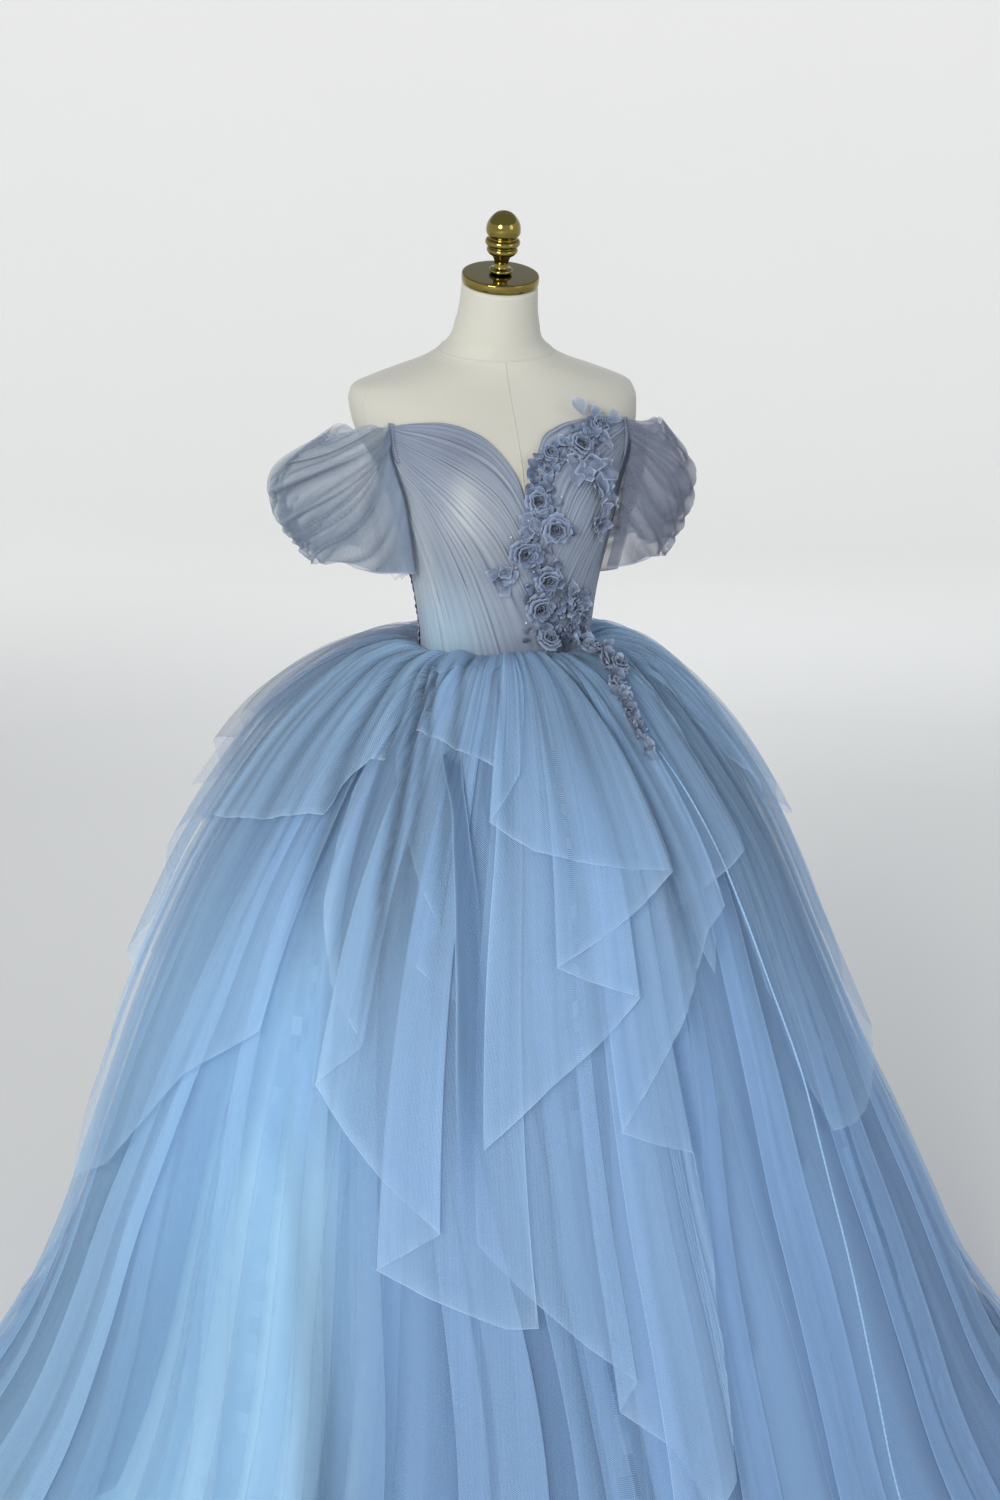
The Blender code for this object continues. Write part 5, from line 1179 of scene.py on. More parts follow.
# ------------------------------------------------------------------ skirt
# Knife pleats of the outer tulle: azimuth at four places down the skirt, side that its edge faces,
# tuck width in degrees, depth in mm, where it starts and ends
PLEAT_AT = (0.10, 0.40, 0.70, 1.00)
PLEATS = [
    (-84, -82, -84, -85, 1, 2.0, 7, 0.06, 1.1), (-70, -70, -78, -79, -1, 2.6, 10, 0.10, 1.1),
    (-61, -61, -66, -66, 1, 2.0, 7, 0.05, 1.1), (-56, -55, -51, -46, -1, 2.0, 8, 0.06, 1.1),
    (-50, -38.5, -34, -31, 1, 2.2, 9, 0.05, 1.1), (-41, -31, -26.6, -24.5, 1, 2.4, 9, 0.08, 1.1),
    (-34, -24.5, -19, -16.5, -1, 1.8, 7, 0.10, 1.1), (-27, -18, -9.8, -7.5, 1, 2.8, 14, 0.12, 1.1),
    (-23, -13, -6.9, -4.0, -1, 2.6, 13, 0.10, 1.1), (-9, -6, -4.2, 0.0, -1, 1.8, 8, 0.05, 1.1),
    (3, 5, 1.8, 4.5, -1, 2.0, 8, 0.05, 1.1), (11, 9.5, 6.0, 9.0, 1, 1.8, 7, 0.06, 1.1),
    (17, 16.2, 12.8, 12.0, -1, 2.2, 9, 0.06, 1.1), (24, 23, 17.5, 17.0, 1, 1.8, 7, 0.05, 1.1),
    (30, 29.5, 25, 22.5, -1, 2.2, 8, 0.06, 1.1), (38, 36, 32.5, 29.0, 1, 2.2, 9, 0.06, 1.1),
    (45, 46, 41, 37.5, -1, 2.4, 10, 0.05, 1.1), (53, 54, 50, 46, 1, 2.0, 8, 0.05, 1.1),
    (61, 63, 59, 56, -1, 2.4, 9, 0.05, 1.1), (71, 73, 70, 67, 1, 2.0, 8, 0.06, 1.1),
    (81, 83, 82, 79, -1, 2.2, 9, 0.05, 1.1), (92, 93, 92, 90, 1, 2.2, 8, 0.05, 1.1),
    (102, 104, 103, 101, -1, 2.0, 9, 0.06, 1.1), (112, 113, 114, 112, 1, 2.4, 10, 0.05, 1.1),
    (123, 124, 123, 124, -1, 1.9, 8, 0.06, 1.1), (132, 133, 134, 134, 1, 2.2, 9, 0.05, 1.1),
    (144, 145, 144, 146, -1, 2.4, 9, 0.05, 1.1), (153, 154, 156, 156, 1, 2.0, 8, 0.07, 1.1),
    (165, 165, 166, 168, -1, 2.2, 10, 0.05, 1.1), (176, 177, 177, 179, 1, 2.2, 8, 0.05, 1.1),
    (188, 188, 187, 189, -1, 2.0, 9, 0.06, 1.1), (198, 199, 200, 200, 1, 2.4, 9, 0.05, 1.1),
    (210, 209, 211, 212, -1, 2.0, 8, 0.05, 1.1), (220, 221, 222, 221, 1, 2.2, 10, 0.06, 1.1),
    (231, 232, 232, 233, -1, 2.2, 8, 0.05, 1.1), (243, 243, 244, 244, 1, 2.0, 9, 0.05, 1.1),
    (254, 255, 256, 255, -1, 2.4, 9, 0.06, 1.1), (265, 267, 267, 266, 1, 2.0, 8, 0.05, 1.1),
]


def random_pleats(n, seed):
    rng = np.random.default_rng(seed)
    az = -180 + (np.arange(n) + 0.5 + 0.5 * (rng.random(n) - 0.5)) * 360.0 / n
    out = []
    for k, a in enumerate(az):
        sway = 2.4 * (rng.random(3) - 0.5)
        pinch = -0.06 * a if abs(a) < 90 else 0.0
        out.append((a, a + sway[0] + pinch * 0.5, a + sway[1] + pinch, a + sway[2] + pinch * 1.3,
                    1 if rng.random() < 0.5 else -1, 1.3 + 1.4 * rng.random(), 5 + 5 * rng.random(),
                    0.04 + 0.10 * rng.random(), 1.1))
    return out


def pleated_grid(table, s, panel=8, gather_mm=1.6, puff=0.003, seed=5, wide=1.9):
    """Azimuth, offset, edge mark, shade and panel lightness of every column of a pleated layer: knife pleats whose
    folded edges overlap the panel beside them. The edge mark is a painted highlight on each folded edge and the shade
    is painted shade on the panel under it; the panel lightness differs at random."""
    rng = np.random.default_rng(seed)
    T = []
    for row in table:
        a = hermite(PLEAT_AT, row[:4], s)
        on = smooth01((s - row[7]) / 0.16)
        T.append((a, row[4], wide * row[5] * on * (0.75 + 0.25 * s) + 0.05, 0.6 * row[6] / 1000 * on * (0.5 + 0.5 * s),
                  on * min(1.0, row[6] / 9.0)))
    n = len(T)
    level = 0.5 * rng.random(n) + 0.5 * rng.random(n) - 0.5
    az_c, off_c, edge_c, dark_c, lum_c = [], [], [], [], []

    def add(az, off, edge, dark, lum):
        az_c.append(np.broadcast_to(az, s.shape))
        off_c.append(np.broadcast_to(off, s.shape))
        edge_c.append(np.broadcast_to(edge, s.shape))
        dark_c.append(np.broadcast_to(dark, s.shape))
        lum_c.append(np.broadcast_to(lum, s.shape))

    for i in range(n):
        a, d, w, dep, on = T[i]
        b, d2, w2, dep2, on2 = T[(i + 1) % n]
        b = b + (360.0 if i == n - 1 else 0.0)
        before, after = level[i - 1] * on, level[i] * on
        if d > 0:
            add(a - 0.20, -0.0002, 0.0, 0.0, before)
            add(a, -0.0008, on, -0.06 * on, before)
            add(a - 0.20, -0.0024, 0.0, 0.0, after)
            add(a - 0.5 * w, -0.55 * dep - 0.002, 0.0, 0.0, after)
            add(a - w + 0.15, -dep + 0.0008, 0.1, 0.0, after)
            add(a - w, -dep, 0.55 * on, 0.0, after)
        else:
            add(a + w, -dep, 0.55 * on, 0.0, before)
            add(a + w - 0.15, -dep + 0.0008, 0.1, 0.0, before)
            add(a + 0.5 * w, -0.55 * dep - 0.002, 0.0, 0.0, before)
            add(a + 0.20, -0.0024, 0.0, 0.0, before)
            add(a, -0.0008, on, -0.06 * on, after)
            add(a + 0.20, -0.0002, 0.0, 0.0, after)
        start_az, start_off = (a - w, -dep) if d > 0 else (a + 0.20, -0.0002 + 0 * s)
        end_az, end_off = (b - 0.20, -0.0002 + 0 * s) if d2 > 0 else (b + w2, -dep2)
        for k in range(1, panel + 1):
            f = k / (panel + 1)
            if d > 0 and d2 > 0:
                f = f**1.3
            elif d < 0 and d2 < 0:
                f = 1 - (1 - f) ** 1.3
            x = start_az + (end_az - start_az) * f
            shade = 0.0
            if d > 0:
                shade = shade + on * np.where(x > a, np.exp(-np.maximum(x - a, 0) / 1.0), 0.25)
            if d2 < 0:
                shade = shade + on2 * np.where(x < b, np.exp(-np.maximum(b - x, 0) / 1.0), 0.25)
            add(x, start_off + (end_off - start_off) * smooth01(np.array(f)) + puff * math.sin(math.pi * f) * smooth01(s / 0.3),
                0.0, shade, after)
    az, off, edge, dark, lum = (np.stack(q) for q in (az_c, off_c, edge_c, dark_c, lum_c))
    m = len(az)
    zig = ((-1.0) ** np.arange(m)) * (0.5 + rng.random(m))
    off = off + gather_mm / 1000 * np.exp(-s / 0.055)[None] * zig[:, None]
    broken = 0.45 + 0.55 * smooth01(0.5 + noise1(s[None] * 13 + np.arange(m)[:, None] * 2.3, seed + 8, 2))
    return az, off, edge * broken, np.clip(dark, 0, 1), lum


def gore_uv(az, s):
    """Cloth metres of a skirt layer, each gore laid flat on its own middle line."""
    r = columns(SKIRT, s)[0]
    mid = np.floor((az + 180.0) / 45.0) * 45.0 - 180.0 + 22.5
    return vec(np.radians(az - mid) * r, s * 1.16 + 0 * az)


def part_dens(az, s, thin, gap):
    """Thinner tulle where the pale lining shows at the lower left, and in the dark parting beside it."""
    a = (az + 180.0) % 360.0 - 180.0
    left = (smooth01((a + 72) / 20) * smooth01((-15 - a) / 24) * smooth01((s - 0.34) / 0.26))
    mid = -30 + 12 * smooth01((s - 0.14) / 0.3)
    part = np.exp(-((a - mid) / 3.6) ** 2) * smooth01((s - 0.13) / 0.06) * smooth01((0.62 - s) / 0.20)
    return 1 - (1 - thin) * left - (1 - gap) * part


ROWS = np.concatenate([np.linspace(0, 0.12, 15), np.linspace(0.12, 0.9970, 50)[1:], [1.0]])


def skirt_layer(name, table, base, soft, mat, thin, gap, seed, nodes, dens=1.0, tone_amp=1.0, fold_share=0.3, valley=1.0,
                shade=0.42):
    s = ROWS
    az, off, edge, dark, lum = pleated_grid(table, s, seed=seed)
    base_off = base[0] + (base[1] - base[0]) * smooth01(s / 0.25)
    S = np.broadcast_to(s[None], az.shape)
    a = np.radians(az)
    ripple = soft * smooth01(S / 0.3) * (noise1(a * 9, seed + 50, 4) + 0.35 * noise1(a * 31, seed + 60, 2))
    dip = pouf(az, S)
    total = base_off[None] + off + ripple - fold_share * fold_depth(az, S) - valley * dip
    P = skirt_at(az, S, total)
    P[:, -1, 2] = np.maximum(P[:, -1, 2], 0.006)
    edge = edge.copy()
    edge[:, -1] = 1.0
    dn = dens * part_dens(az, S, thin, gap) * (1 + 0.6 * np.exp(-S / 0.05)) * (1 + 0.35 * lum)
    dn *= 1 + 0.10 * noise1(a * 14 + 2.0 * S, seed + 70, 3)
    w = (az + 180.0) % 360.0 - 180.0
    # lighter cyan at the front left: partly the satin seen through the thinner tulle there, partly painted light
    tone = tone_amp * (0.75 * smooth01((-14 - w) / 34) * smooth01((w + 112) / 30) * smooth01((S - 0.16) / 0.25))
    tone = tone + 0.25 * lum
    mid = -30 + 12 * smooth01((S - 0.14) / 0.3)
    part = np.exp(-((w - mid) / 3.6) ** 2) * smooth01((S - 0.13) / 0.06) * smooth01((0.62 - S) / 0.20)
    # dark: painted shade in the valleys under the waist, in the parting and along the right side; the random panel
    # lightness lightens and darkens it
    dark = shade * dark - 0.34 * lum + 0.60 * np.clip(dip / 0.010, 0, 1) ** 1.4 + 0.14 * part
    dark = dark + 0.13 * smooth01((w - 25) / 20) * (1 - smooth01((w - 80) / 20)) * (1 - smooth01((S - 0.35) / 0.25))
    # negative terms: painted light on the left panels; creases: painted shade
    dark = dark - 0.16 * np.exp(-((w + 60) / 14) ** 2 - ((S - 0.27) / 0.08) ** 2) + 0.8 * creases(w, S)
    dark = dark - 0.27 * np.exp(-((w + 57) / 16) ** 2 - ((S - 0.48) / 0.14) ** 2)
    dark = dark - 0.13 * np.exp(-((w + 70) / 9) ** 2 - ((S - 0.66) / 0.12) ** 2)
    # painted shade in a band beside the satin's fold at the lower front, with a lighter band beside it and a thin dark
    # line at its edge
    past = w - hermite((0.30, 0.515, 0.613, 0.772, 1.0), (-62, -53.3, -46.3, -36.2, -29.0), S)
    low = smooth01((S - 0.47) / 0.08)
    centre = hermite((0.30, 0.50, 0.64, 0.774, 1.0), (10.0, 9.0, 6.0, 1.8, 0.0), S)
    dark = dark + low * (0.27 * np.exp(-((past - centre) / 2.6) ** 2) - 0.09 * np.exp(-((past - centre + 4.4) / 2.2) ** 2)
                         + 0.07 * np.exp(-((past + 0.9) / 0.8) ** 2))
    ob = grid(name, P, mat, closed=True, uv=gore_uv(az, S), edge=edge, dens=dn, tone=np.clip(tone, 0, 1),
              dark=np.clip(dark, -0.12, 0.65), fan=a, down=S)
    place(ob, "gown", "skirt_tulle", *nodes)
    declare(ob, P, closed=True)


skirt_layer("skirt_tulle_outer", PLEATS, (0.0, -0.006), 0.0022, M_OUT, 0.34, 0.30, 5,
            ["skirt_gore_%d" % k for k in range(1, 9)])
skirt_layer("skirt_tulle_middle", random_pleats(34, 91), (-0.0025, -0.022), 0.0035, M_MID, 0.34, 0.45, 6, [],
            fold_share=0.45, valley=0.75, shade=0.30)
skirt_layer("skirt_tulle_inner", random_pleats(28, 92), (-0.0045, -0.036), 0.0040, M_IN, 0.30, 0.8, 7, [],
            fold_share=0.45, valley=0.55, shade=0.22)


def lining():
    s = np.concatenate([np.linspace(0, 0.12, 8), np.linspace(0.12, 0.998, 44)[1:]])
    az = np.arange(-180, 180, 1.0)[:, None]
    S = np.broadcast_to(s[None], (len(az), len(s)))
    r, z, dx = skirt_base(az, S)
    inset, drop = columns(LINING, S)
    nr, nz = skirt_normal(S)
    a = np.radians(az)
    grow = smooth01(S / 0.3)
    ripple = grow * (0.004 * np.cos(a * 6) + 0.008 * noise1(a * 7, 301, 2) * (0.4 + 0.6 * S) + 0.0005 * noise1(a * 40, 302, 2))
    ridge_at = hermite((0.30, 0.515, 0.613, 0.772, 1.0), (-62, -53.3, -46.3, -36.2, -29.0), S)
    w = (az - ridge_at)
    ridge = np.where(w < 0, np.exp(-(w / 8.0) ** 2), np.exp(-(w / 3.2) ** 2)) * smooth01((S - 0.38) / 0.2)
    clear = smooth01(S / 0.25) * 0.055 + 0.48 * fold_depth(az + 0 * S, S) + 0.60 * pouf(az + 0 * S, S)
    rr = r - np.maximum(inset - ripple - 0.009 * ridge, np.minimum(clear, 0.090)) - 0.0015 * np.exp(-S / 0.05) * np.cos(a * 90)
    P = vec(dx + rr * np.sin(a), -rr * np.cos(a), np.maximum(z - drop + 0.0 * nz, 0.0065))
    # the satin turns to its lighter cyan at the lower front left: painted highlight where the light falls on it
    satin_painted_highlight = 0.85 * smooth01((az + 74) / 16) * smooth01((-14 - az) / 22) * smooth01((S - 0.30) / 0.2)
    half = len(az) // 2
    for name, cols in (("left", slice(0, half + 1)), ("right", slice(half, len(az)))):
        Q, A, T = P[cols], np.broadcast_to(az, S.shape)[cols], satin_painted_highlight[cols]
        if name == "right":
            Q, A, T = np.concatenate([Q, P[:1]]), np.concatenate([A, A[:1] * 0 + 180.0]), np.concatenate([T, T[:1]])
        SS = np.broadcast_to(s[None], A.shape)
        ob = grid("lining_%s_satin" % name, Q, M_SATIN, uv=gore_uv(A, SS), tone=T)
        place(ob, "gown", "lining", "skirt_lining_" + name)
        declare(ob, Q)


lining()


# ------------------------------------------------------------------ overlays
def fan(s):
    """How far a column has swung from its place at the waist to its place at the hem."""
    return (1 - np.exp(-s / 0.07)) / (1 - math.exp(-1 / 0.07))


def cascade(name, nodes, waist_mm, cols, mat=None, dens=1.0, seed=1, ruffle=0.0030, flute=0.0, side_edges=(True, True),
            tone=0.0, step=0.85, rows=34, bend=0.0, s_from=0.0, valley=0.85):
    """A sheet hung from the waist with a pointed hem. Each column of the table: azimuth at the waist and at
    the hem, hem's place along the profile, height over the skirt in mm. Where the azimuth turns back, the
    cloth folds under itself."""
    cols = np.array(cols, float)
    rng = np.random.default_rng(seed)
    turn = np.zeros(len(cols), bool)
    for k in range(1, len(cols) - 1):
        turn[k] = (cols[k + 1, 1] - cols[k, 1]) * (cols[k, 1] - cols[k - 1, 1]) < 0
    out, edge = [], []
    for k in range(len(cols) - 1):
        a, b = cols[k], cols[k + 1]
        length = math.hypot(math.radians(b[1] - a[1]) * 0.45, (b[2] - a[2]) * 1.1)
        n = max(3, int(round(length / (0.0078 * step / 0.85))))
        f = np.arange(n) / n
        if k == 0 and side_edges[0]:
            f = np.concatenate([[0, 0.0028 / length], f[1:]])
        elif turn[k]:
            f = np.concatenate([[0, 0.0022 / length], f[1:]])
        if turn[k + 1] if k + 1 < len(cols) - 1 else side_edges[1]:
            f = np.concatenate([f, [1 - 0.0024 / length]])
        seg = a[None] + (b - a)[None] * f[:, None]
        seg[:, 2] += bend * np.sin(math.pi * f) * length
        e = np.zeros(len(f))
        if (k == 0 and side_edges[0]) or turn[k]:
            e[0] = 1.0 if k == 0 else 0.8
        out.append(seg)
        edge.append(e)
    out.append(cols[-1:])
    edge.append(np.array([1.0 if side_edges[1] else 0.0]))
    C, E = np.concatenate(out), np.concatenate(edge)
    m = len(C)
    t = np.concatenate([np.linspace(0, 1, rows) ** 1.15])
    t = np.concatenate([t[:-1], [0.0], [1.0]])
    s_hem = C[:, 2][:, None]
    t = np.broadcast_to(t[None], (m, len(t))).copy()
    t[:, -2] = 1 - 0.0020 / (1.15 * (C[:, 2] - s_from))
    t = np.sort(t, axis=1)
    S = s_from + (s_hem - s_from) * t
    az = C[:, 0][:, None] + (C[:, 1] - C[:, 0])[:, None] * fan(S) / fan(s_hem)
    # arc length along the hem drives the soft vertical folds
    d = np.concatenate([[0], np.cumsum(np.hypot(np.radians(np.diff(C[:, 1])) * 0.45, np.diff(C[:, 2])))])[:, None]
    soft = ruffle * smooth01(S / 0.15) * (noise1(d * 55, seed, 3) + 0.5 * noise1(d * 150, seed + 9, 2))
    wave = flute * smooth01(t) ** 2 * np.sin(d * 70 + 2 * noise1(d * 9, seed + 4, 1))
    lift = waist_mm / 1000 + (C[:, 3][:, None] / 1000 - waist_mm / 1000) * smooth01(S / 0.2)
    keep = np.minimum(1.0, lift / 0.010)
    zig = ((-1.0) ** np.arange(m)) * (0.4 + 0.9 * rng.random(m))
    gather = 0.0012 * np.exp(-S / 0.05) * zig[:, None]
    dip = pouf(az, S)
    P = skirt_at(az, S, lift + (soft + wave) * keep + gather - valley * dip)
    broken = 0.55 + 0.45 * smooth01(0.5 + 1.2 * noise1(d * 40, seed + 6, 2))
    # mark: painted highlight along cut edges, turns and the hem
    mark = E[:, None] * smooth01((S - 0.03) / 0.05) * (0.60 + 0.40 * smooth01(0.5 + noise1(S * 16, seed + 7, 2)))
    mark[:, -1] = broken[:, 0]
    mark[:, -2] = 0.30 * broken[:, 0]
    # dark: painted shade in the valleys, the creases and a patch under the waist at the front; a random wobble along
    # the hem lightens and darkens it
    dark = 0.50 * np.clip(dip / 0.010, 0, 1) ** 1.3 - 0.12 * noise1(d * 26, seed + 2, 2) * smooth01(S / 0.1)
    dark = dark + creases(az, S) + 0.16 * np.exp(-((az - 7) / 11) ** 2 - ((S - 0.13) / 0.07) ** 2)
    dn = dens * (1 + 0.8 * np.exp(-S / 0.04)) * (1 + 0.10 * noise1(d * 30, seed + 3, 2))
    w = (az + 180.0) % 360.0 - 180.0
    # lighter cyan at the front left: partly the satin seen through the thinner tulle there, partly painted light
    tn = tone + 0.55 * smooth01((-20 - w) / 30) * smooth01((w + 112) / 30) * smooth01((S - 0.16) / 0.25)
    ob = grid(name, P, mat or M_OVER, uv=gore_uv(az, S), edge=mark, dens=dn, tone=np.clip(tn, 0, 1),
              dark=np.clip(dark, -0.12, 0.6), fan=np.radians(az), down=S)
    place(ob, "gown", "overlay_tulle", *nodes)
    declare(ob, P)
    return ob


cascade("overlay_b_cascade", ["overlay_front_upper", "overlay_front_lower"], 9.0, [
    (-10, -9.0, 0.060, 38), (-7.5, -6.4, 0.090, 38), (-7, -7.0, 0.130, 39), (-8, -8.9, 0.184, 39), (-13, -15.0, 0.218, 36),
    (-6, -6.1, 0.240, 31.5), (1, 7.8, 0.257, 31), (9, 19.5, 0.267, 30),
    (6, 8.0, 0.305, 28), (2, -3.1, 0.339, 26), (4, 5.4, 0.365, 24), (7, 10.0, 0.377, 22.5),
    (4, 5.7, 0.403, 20.5), (-2, -4.7, 0.455, 19), (-9, -13.8, 0.511, 18)], seed=41, flute=0.0015, dens=1.12)
cascade("overlay_a_tip", ["overlay_front_tip"], 7.0, [
    (-30, -34.0, 0.075, 10), (-28.5, -37.2, 0.115, 13), (-27, -39.7, 0.142, 15.5), (-25, -31.3, 0.150, 15), (-21, -23.5, 0.160, 14),
    (-16, -17.7, 0.166, 13), (-8, -9.0, 0.185, 12), (2, 3.0, 0.195, 11)], seed=42, dens=1.3)
cascade("overlay_waist_frill", [], 8.0, [
    (-46, -49.0, 0.060, 13), (-38, -41.0, 0.078, 18), (-30, -30.0, 0.058, 20), (-22, -20.0, 0.074, 18), (-13, -12.0, 0.052, 19),
    (-6, -8.0, 0.066, 16), (2, 4.0, 0.048, 14), (9, 12.0, 0.056, 11)], seed=58, ruffle=0.004, flute=0.003, dens=0.9, step=0.5)
cascade("overlay_a_under", [], 5.0, [
    (-40, -43.0, 0.110, 8), (-38, -42.0, 0.160, 11), (-30, -31.0, 0.235, 12), (-24, -22.0, 0.300, 12), (-27, -27.0, 0.330, 10),
    (-20, -18.0, 0.372, 9)], seed=54, dens=0.85)
cascade("overlay_e_long", ["overlay_front_right", "overlay_front_long"], 4.5, [
    (25, 25.2, 0.110, 10), (24.5, 27.0, 0.176, 16), (24, 28.0, 0.240, 19), (23, 30.0, 0.309, 19.5), (19, 24.9, 0.327, 18.5),
    (16, 20.2, 0.377, 17), (14, 16.3, 0.415, 15.5),
    (9, 10.0, 0.462, 14), (6, 4.7, 0.503, 13), (9, 9.5, 0.520, 12), (12, 14.6, 0.535, 11), (13, 14.4, 0.62, 10),
    (12, 13.2, 0.673, 9.6), (11, 11.0, 0.836, 9), (6, 4.0, 0.900, 8)], seed=43)
cascade("overlay_c_band", [], 6.0, [
    (12, 13.0, 0.050, 8), (13.5, 20.3, 0.205, 17), (14, 23.2, 0.345, 17), (16, 24.6, 0.372, 16), (18, 26.5, 0.338, 15.5),
    (20, 27.0, 0.250, 14), (21, 26.0, 0.160, 11)], seed=55, dens=0.9, ruffle=0.0015)
cascade("overlay_h_under", [], 2.5, [
    (-12, -15.0, 0.600, 5.2), (-8, -9.5, 0.647, 5.6), (-3, -3.0, 0.700, 6.0), (1, 2.0, 0.735, 6.4),
    (0, -0.5, 0.760, 5.0), (5, 5.0, 0.80, 4.2), (9, 9.5, 0.88, 3.6)], seed=44, dens=0.9)
cascade("overlay_f_left", ["overlay_front_left"], 4.0, [
    (-46, -47.8, 0.200, 13), (-42, -43.5, 0.300, 13), (-37, -38.7, 0.367, 13), (-30.5, -31.8, 0.421, 13),
    (-35, -38.1, 0.465, 13), (-31, -35.2, 0.487, 12.5), (-24, -27.0, 0.545, 12),
    (-17, -19.3, 0.591, 11.5), (-22, -27.2, 0.631, 10.5), (-18, -20.0, 0.655, 9.8), (-12, -12.0, 0.679, 9.2),
    (-8, -8.4, 0.679, 8.6)], seed=45)
cascade("overlay_g_left_upper", [], 6.0, [
    (-45.5, -43.5, 0.100, 11), (-44.5, -44.3, 0.170, 14), (-46.5, -47.0, 0.172, 14.5), (-50, -50.9, 0.196, 15), (-52.5, -53.5, 0.221, 15),
    (-62, -63.7, 0.234, 14.5), (-74, -76.5, 0.250, 14), (-90, -93.0, 0.271, 13), (-100, -104.0, 0.300, 12)], seed=46, dens=1.35, tone=0.25)
cascade("overlay_r_side", ["overlay_side_right"], 4.5, [
    (17, 20.0, 0.300, 6.5), (24, 30.0, 0.284, 8.5), (31, 37.0, 0.277, 9.5), (36, 41.8, 0.268, 10), (39, 43.7, 0.252, 10),
    (42, 45.0, 0.215, 9.5), (46, 48.0, 0.160, 8)], seed=47)
cascade("overlay_r_flap", [], 5.5, [
    (52, 54.0, 0.150, 9), (56, 60.0, 0.222, 12), (61, 66.0, 0.262, 15), (65, 70.8, 0.279, 17), (74, 80.0, 0.268, 16), (86, 92.0, 0.255, 13),
    (98, 104.0, 0.275, 11)], seed=56, dens=0.8, ruffle=0.004, flute=0.004)
cascade("overlay_r_long", [], 3.0, [
    (30, 35.0, 0.240, 4.0), (31.5, 37.5, 0.480, 5.0), (33, 41.0, 0.572, 5.6), (40, 47.0, 0.582, 6.4), (45, 51.7, 0.579, 7.0),
    (52, 58.0, 0.566, 8.0), (60, 69.8, 0.541, 9.5), (57, 62.0, 0.470, 9.0), (66, 74.0, 0.440, 8.0), (80, 92.0, 0.480, 7.0)],
    seed=48, dens=0.85)
cascade("overlay_l_side", ["overlay_side_left"], 4.5, [
    (-118, -120.0, 0.330, 12), (-106, -107.0, 0.300, 27), (-98, -98.0, 0.325, 42), (-99, -99.6, 0.369, 15),
    (-97.5, -98.6, 0.420, 17), (-96.5, -97.0, 0.458, 33), (-94.5, -95.0, 0.470, 9), (-95.5, -96.6, 0.527, 18),
    (-92, -93.5, 0.572, 7), (-93.5, -95.0, 0.650, 12), (-86, -88.0, 0.705, 11), (-74, -76.0, 0.640, 10), (-60, -63.0, 0.500, 8.5),
    (-46, -50.0, 0.430, 8)], seed=49, dens=0.85, ruffle=0.0015, flute=0.001)
cascade("overlay_back_flap", ["overlay_back_left"], 8.0, [
    (-160, -164.0, 0.250, 20), (-146, -148.0, 0.235, 30), (-130, -130.0, 0.215, 38), (-116, -116.0, 0.205, 44),
    (-104, -106.0, 0.225, 46), (-97, -99.0, 0.262, 38)], mat=M_FLAP, seed=50, ruffle=0.008, flute=0.017, step=0.55)
cascade("overlay_back_flap_under", [], 6.0, [
    (-150, -152.0, 0.215, 14), (-134, -134.0, 0.200, 22), (-118, -118.0, 0.190, 26), (-108, -109.0, 0.205, 28), (-100, -101.0, 0.240, 24),
    (-93, -95.0, 0.225, 16)], mat=M_FLAP, seed=57, ruffle=0.007, flute=0.010, step=0.55, dens=0.9)
cascade("overlay_back_mid", ["overlay_back_centre"], 4.5, [
    (-172, -172.0, 0.560, 8), (-164, -166.0, 0.640, 9), (-168, -160.0, 0.600, 8), (-156, -152.0, 0.500, 8), (-142, -140.0, 0.430, 9),
    (-130, -128.0, 0.560, 9), (-116, -114.0, 0.500, 8)], seed=51)
cascade("overlay_back_side", ["overlay_back_right"], 4.5, [
    (96, 98.0, 0.360, 8), (104, 105.0, 0.400, 8), (114, 113.0, 0.470, 9), (126, 126.0, 0.640, 9), (140, 138.0, 0.520, 8),
    (152, 153.0, 0.430, 8), (170, 170.0, 0.540, 9)], seed=52)
cascade("overlay_back_top", ["overlay_back_upper"], 8.0, [
    (94, 96.0, 0.250, 15), (112, 114.0, 0.290, 17), (128, 126.0, 0.220, 15), (146, 146.0, 0.270, 17),
    (164, 164.0, 0.240, 15), (176, 178.0, 0.200, 14)], seed=53)


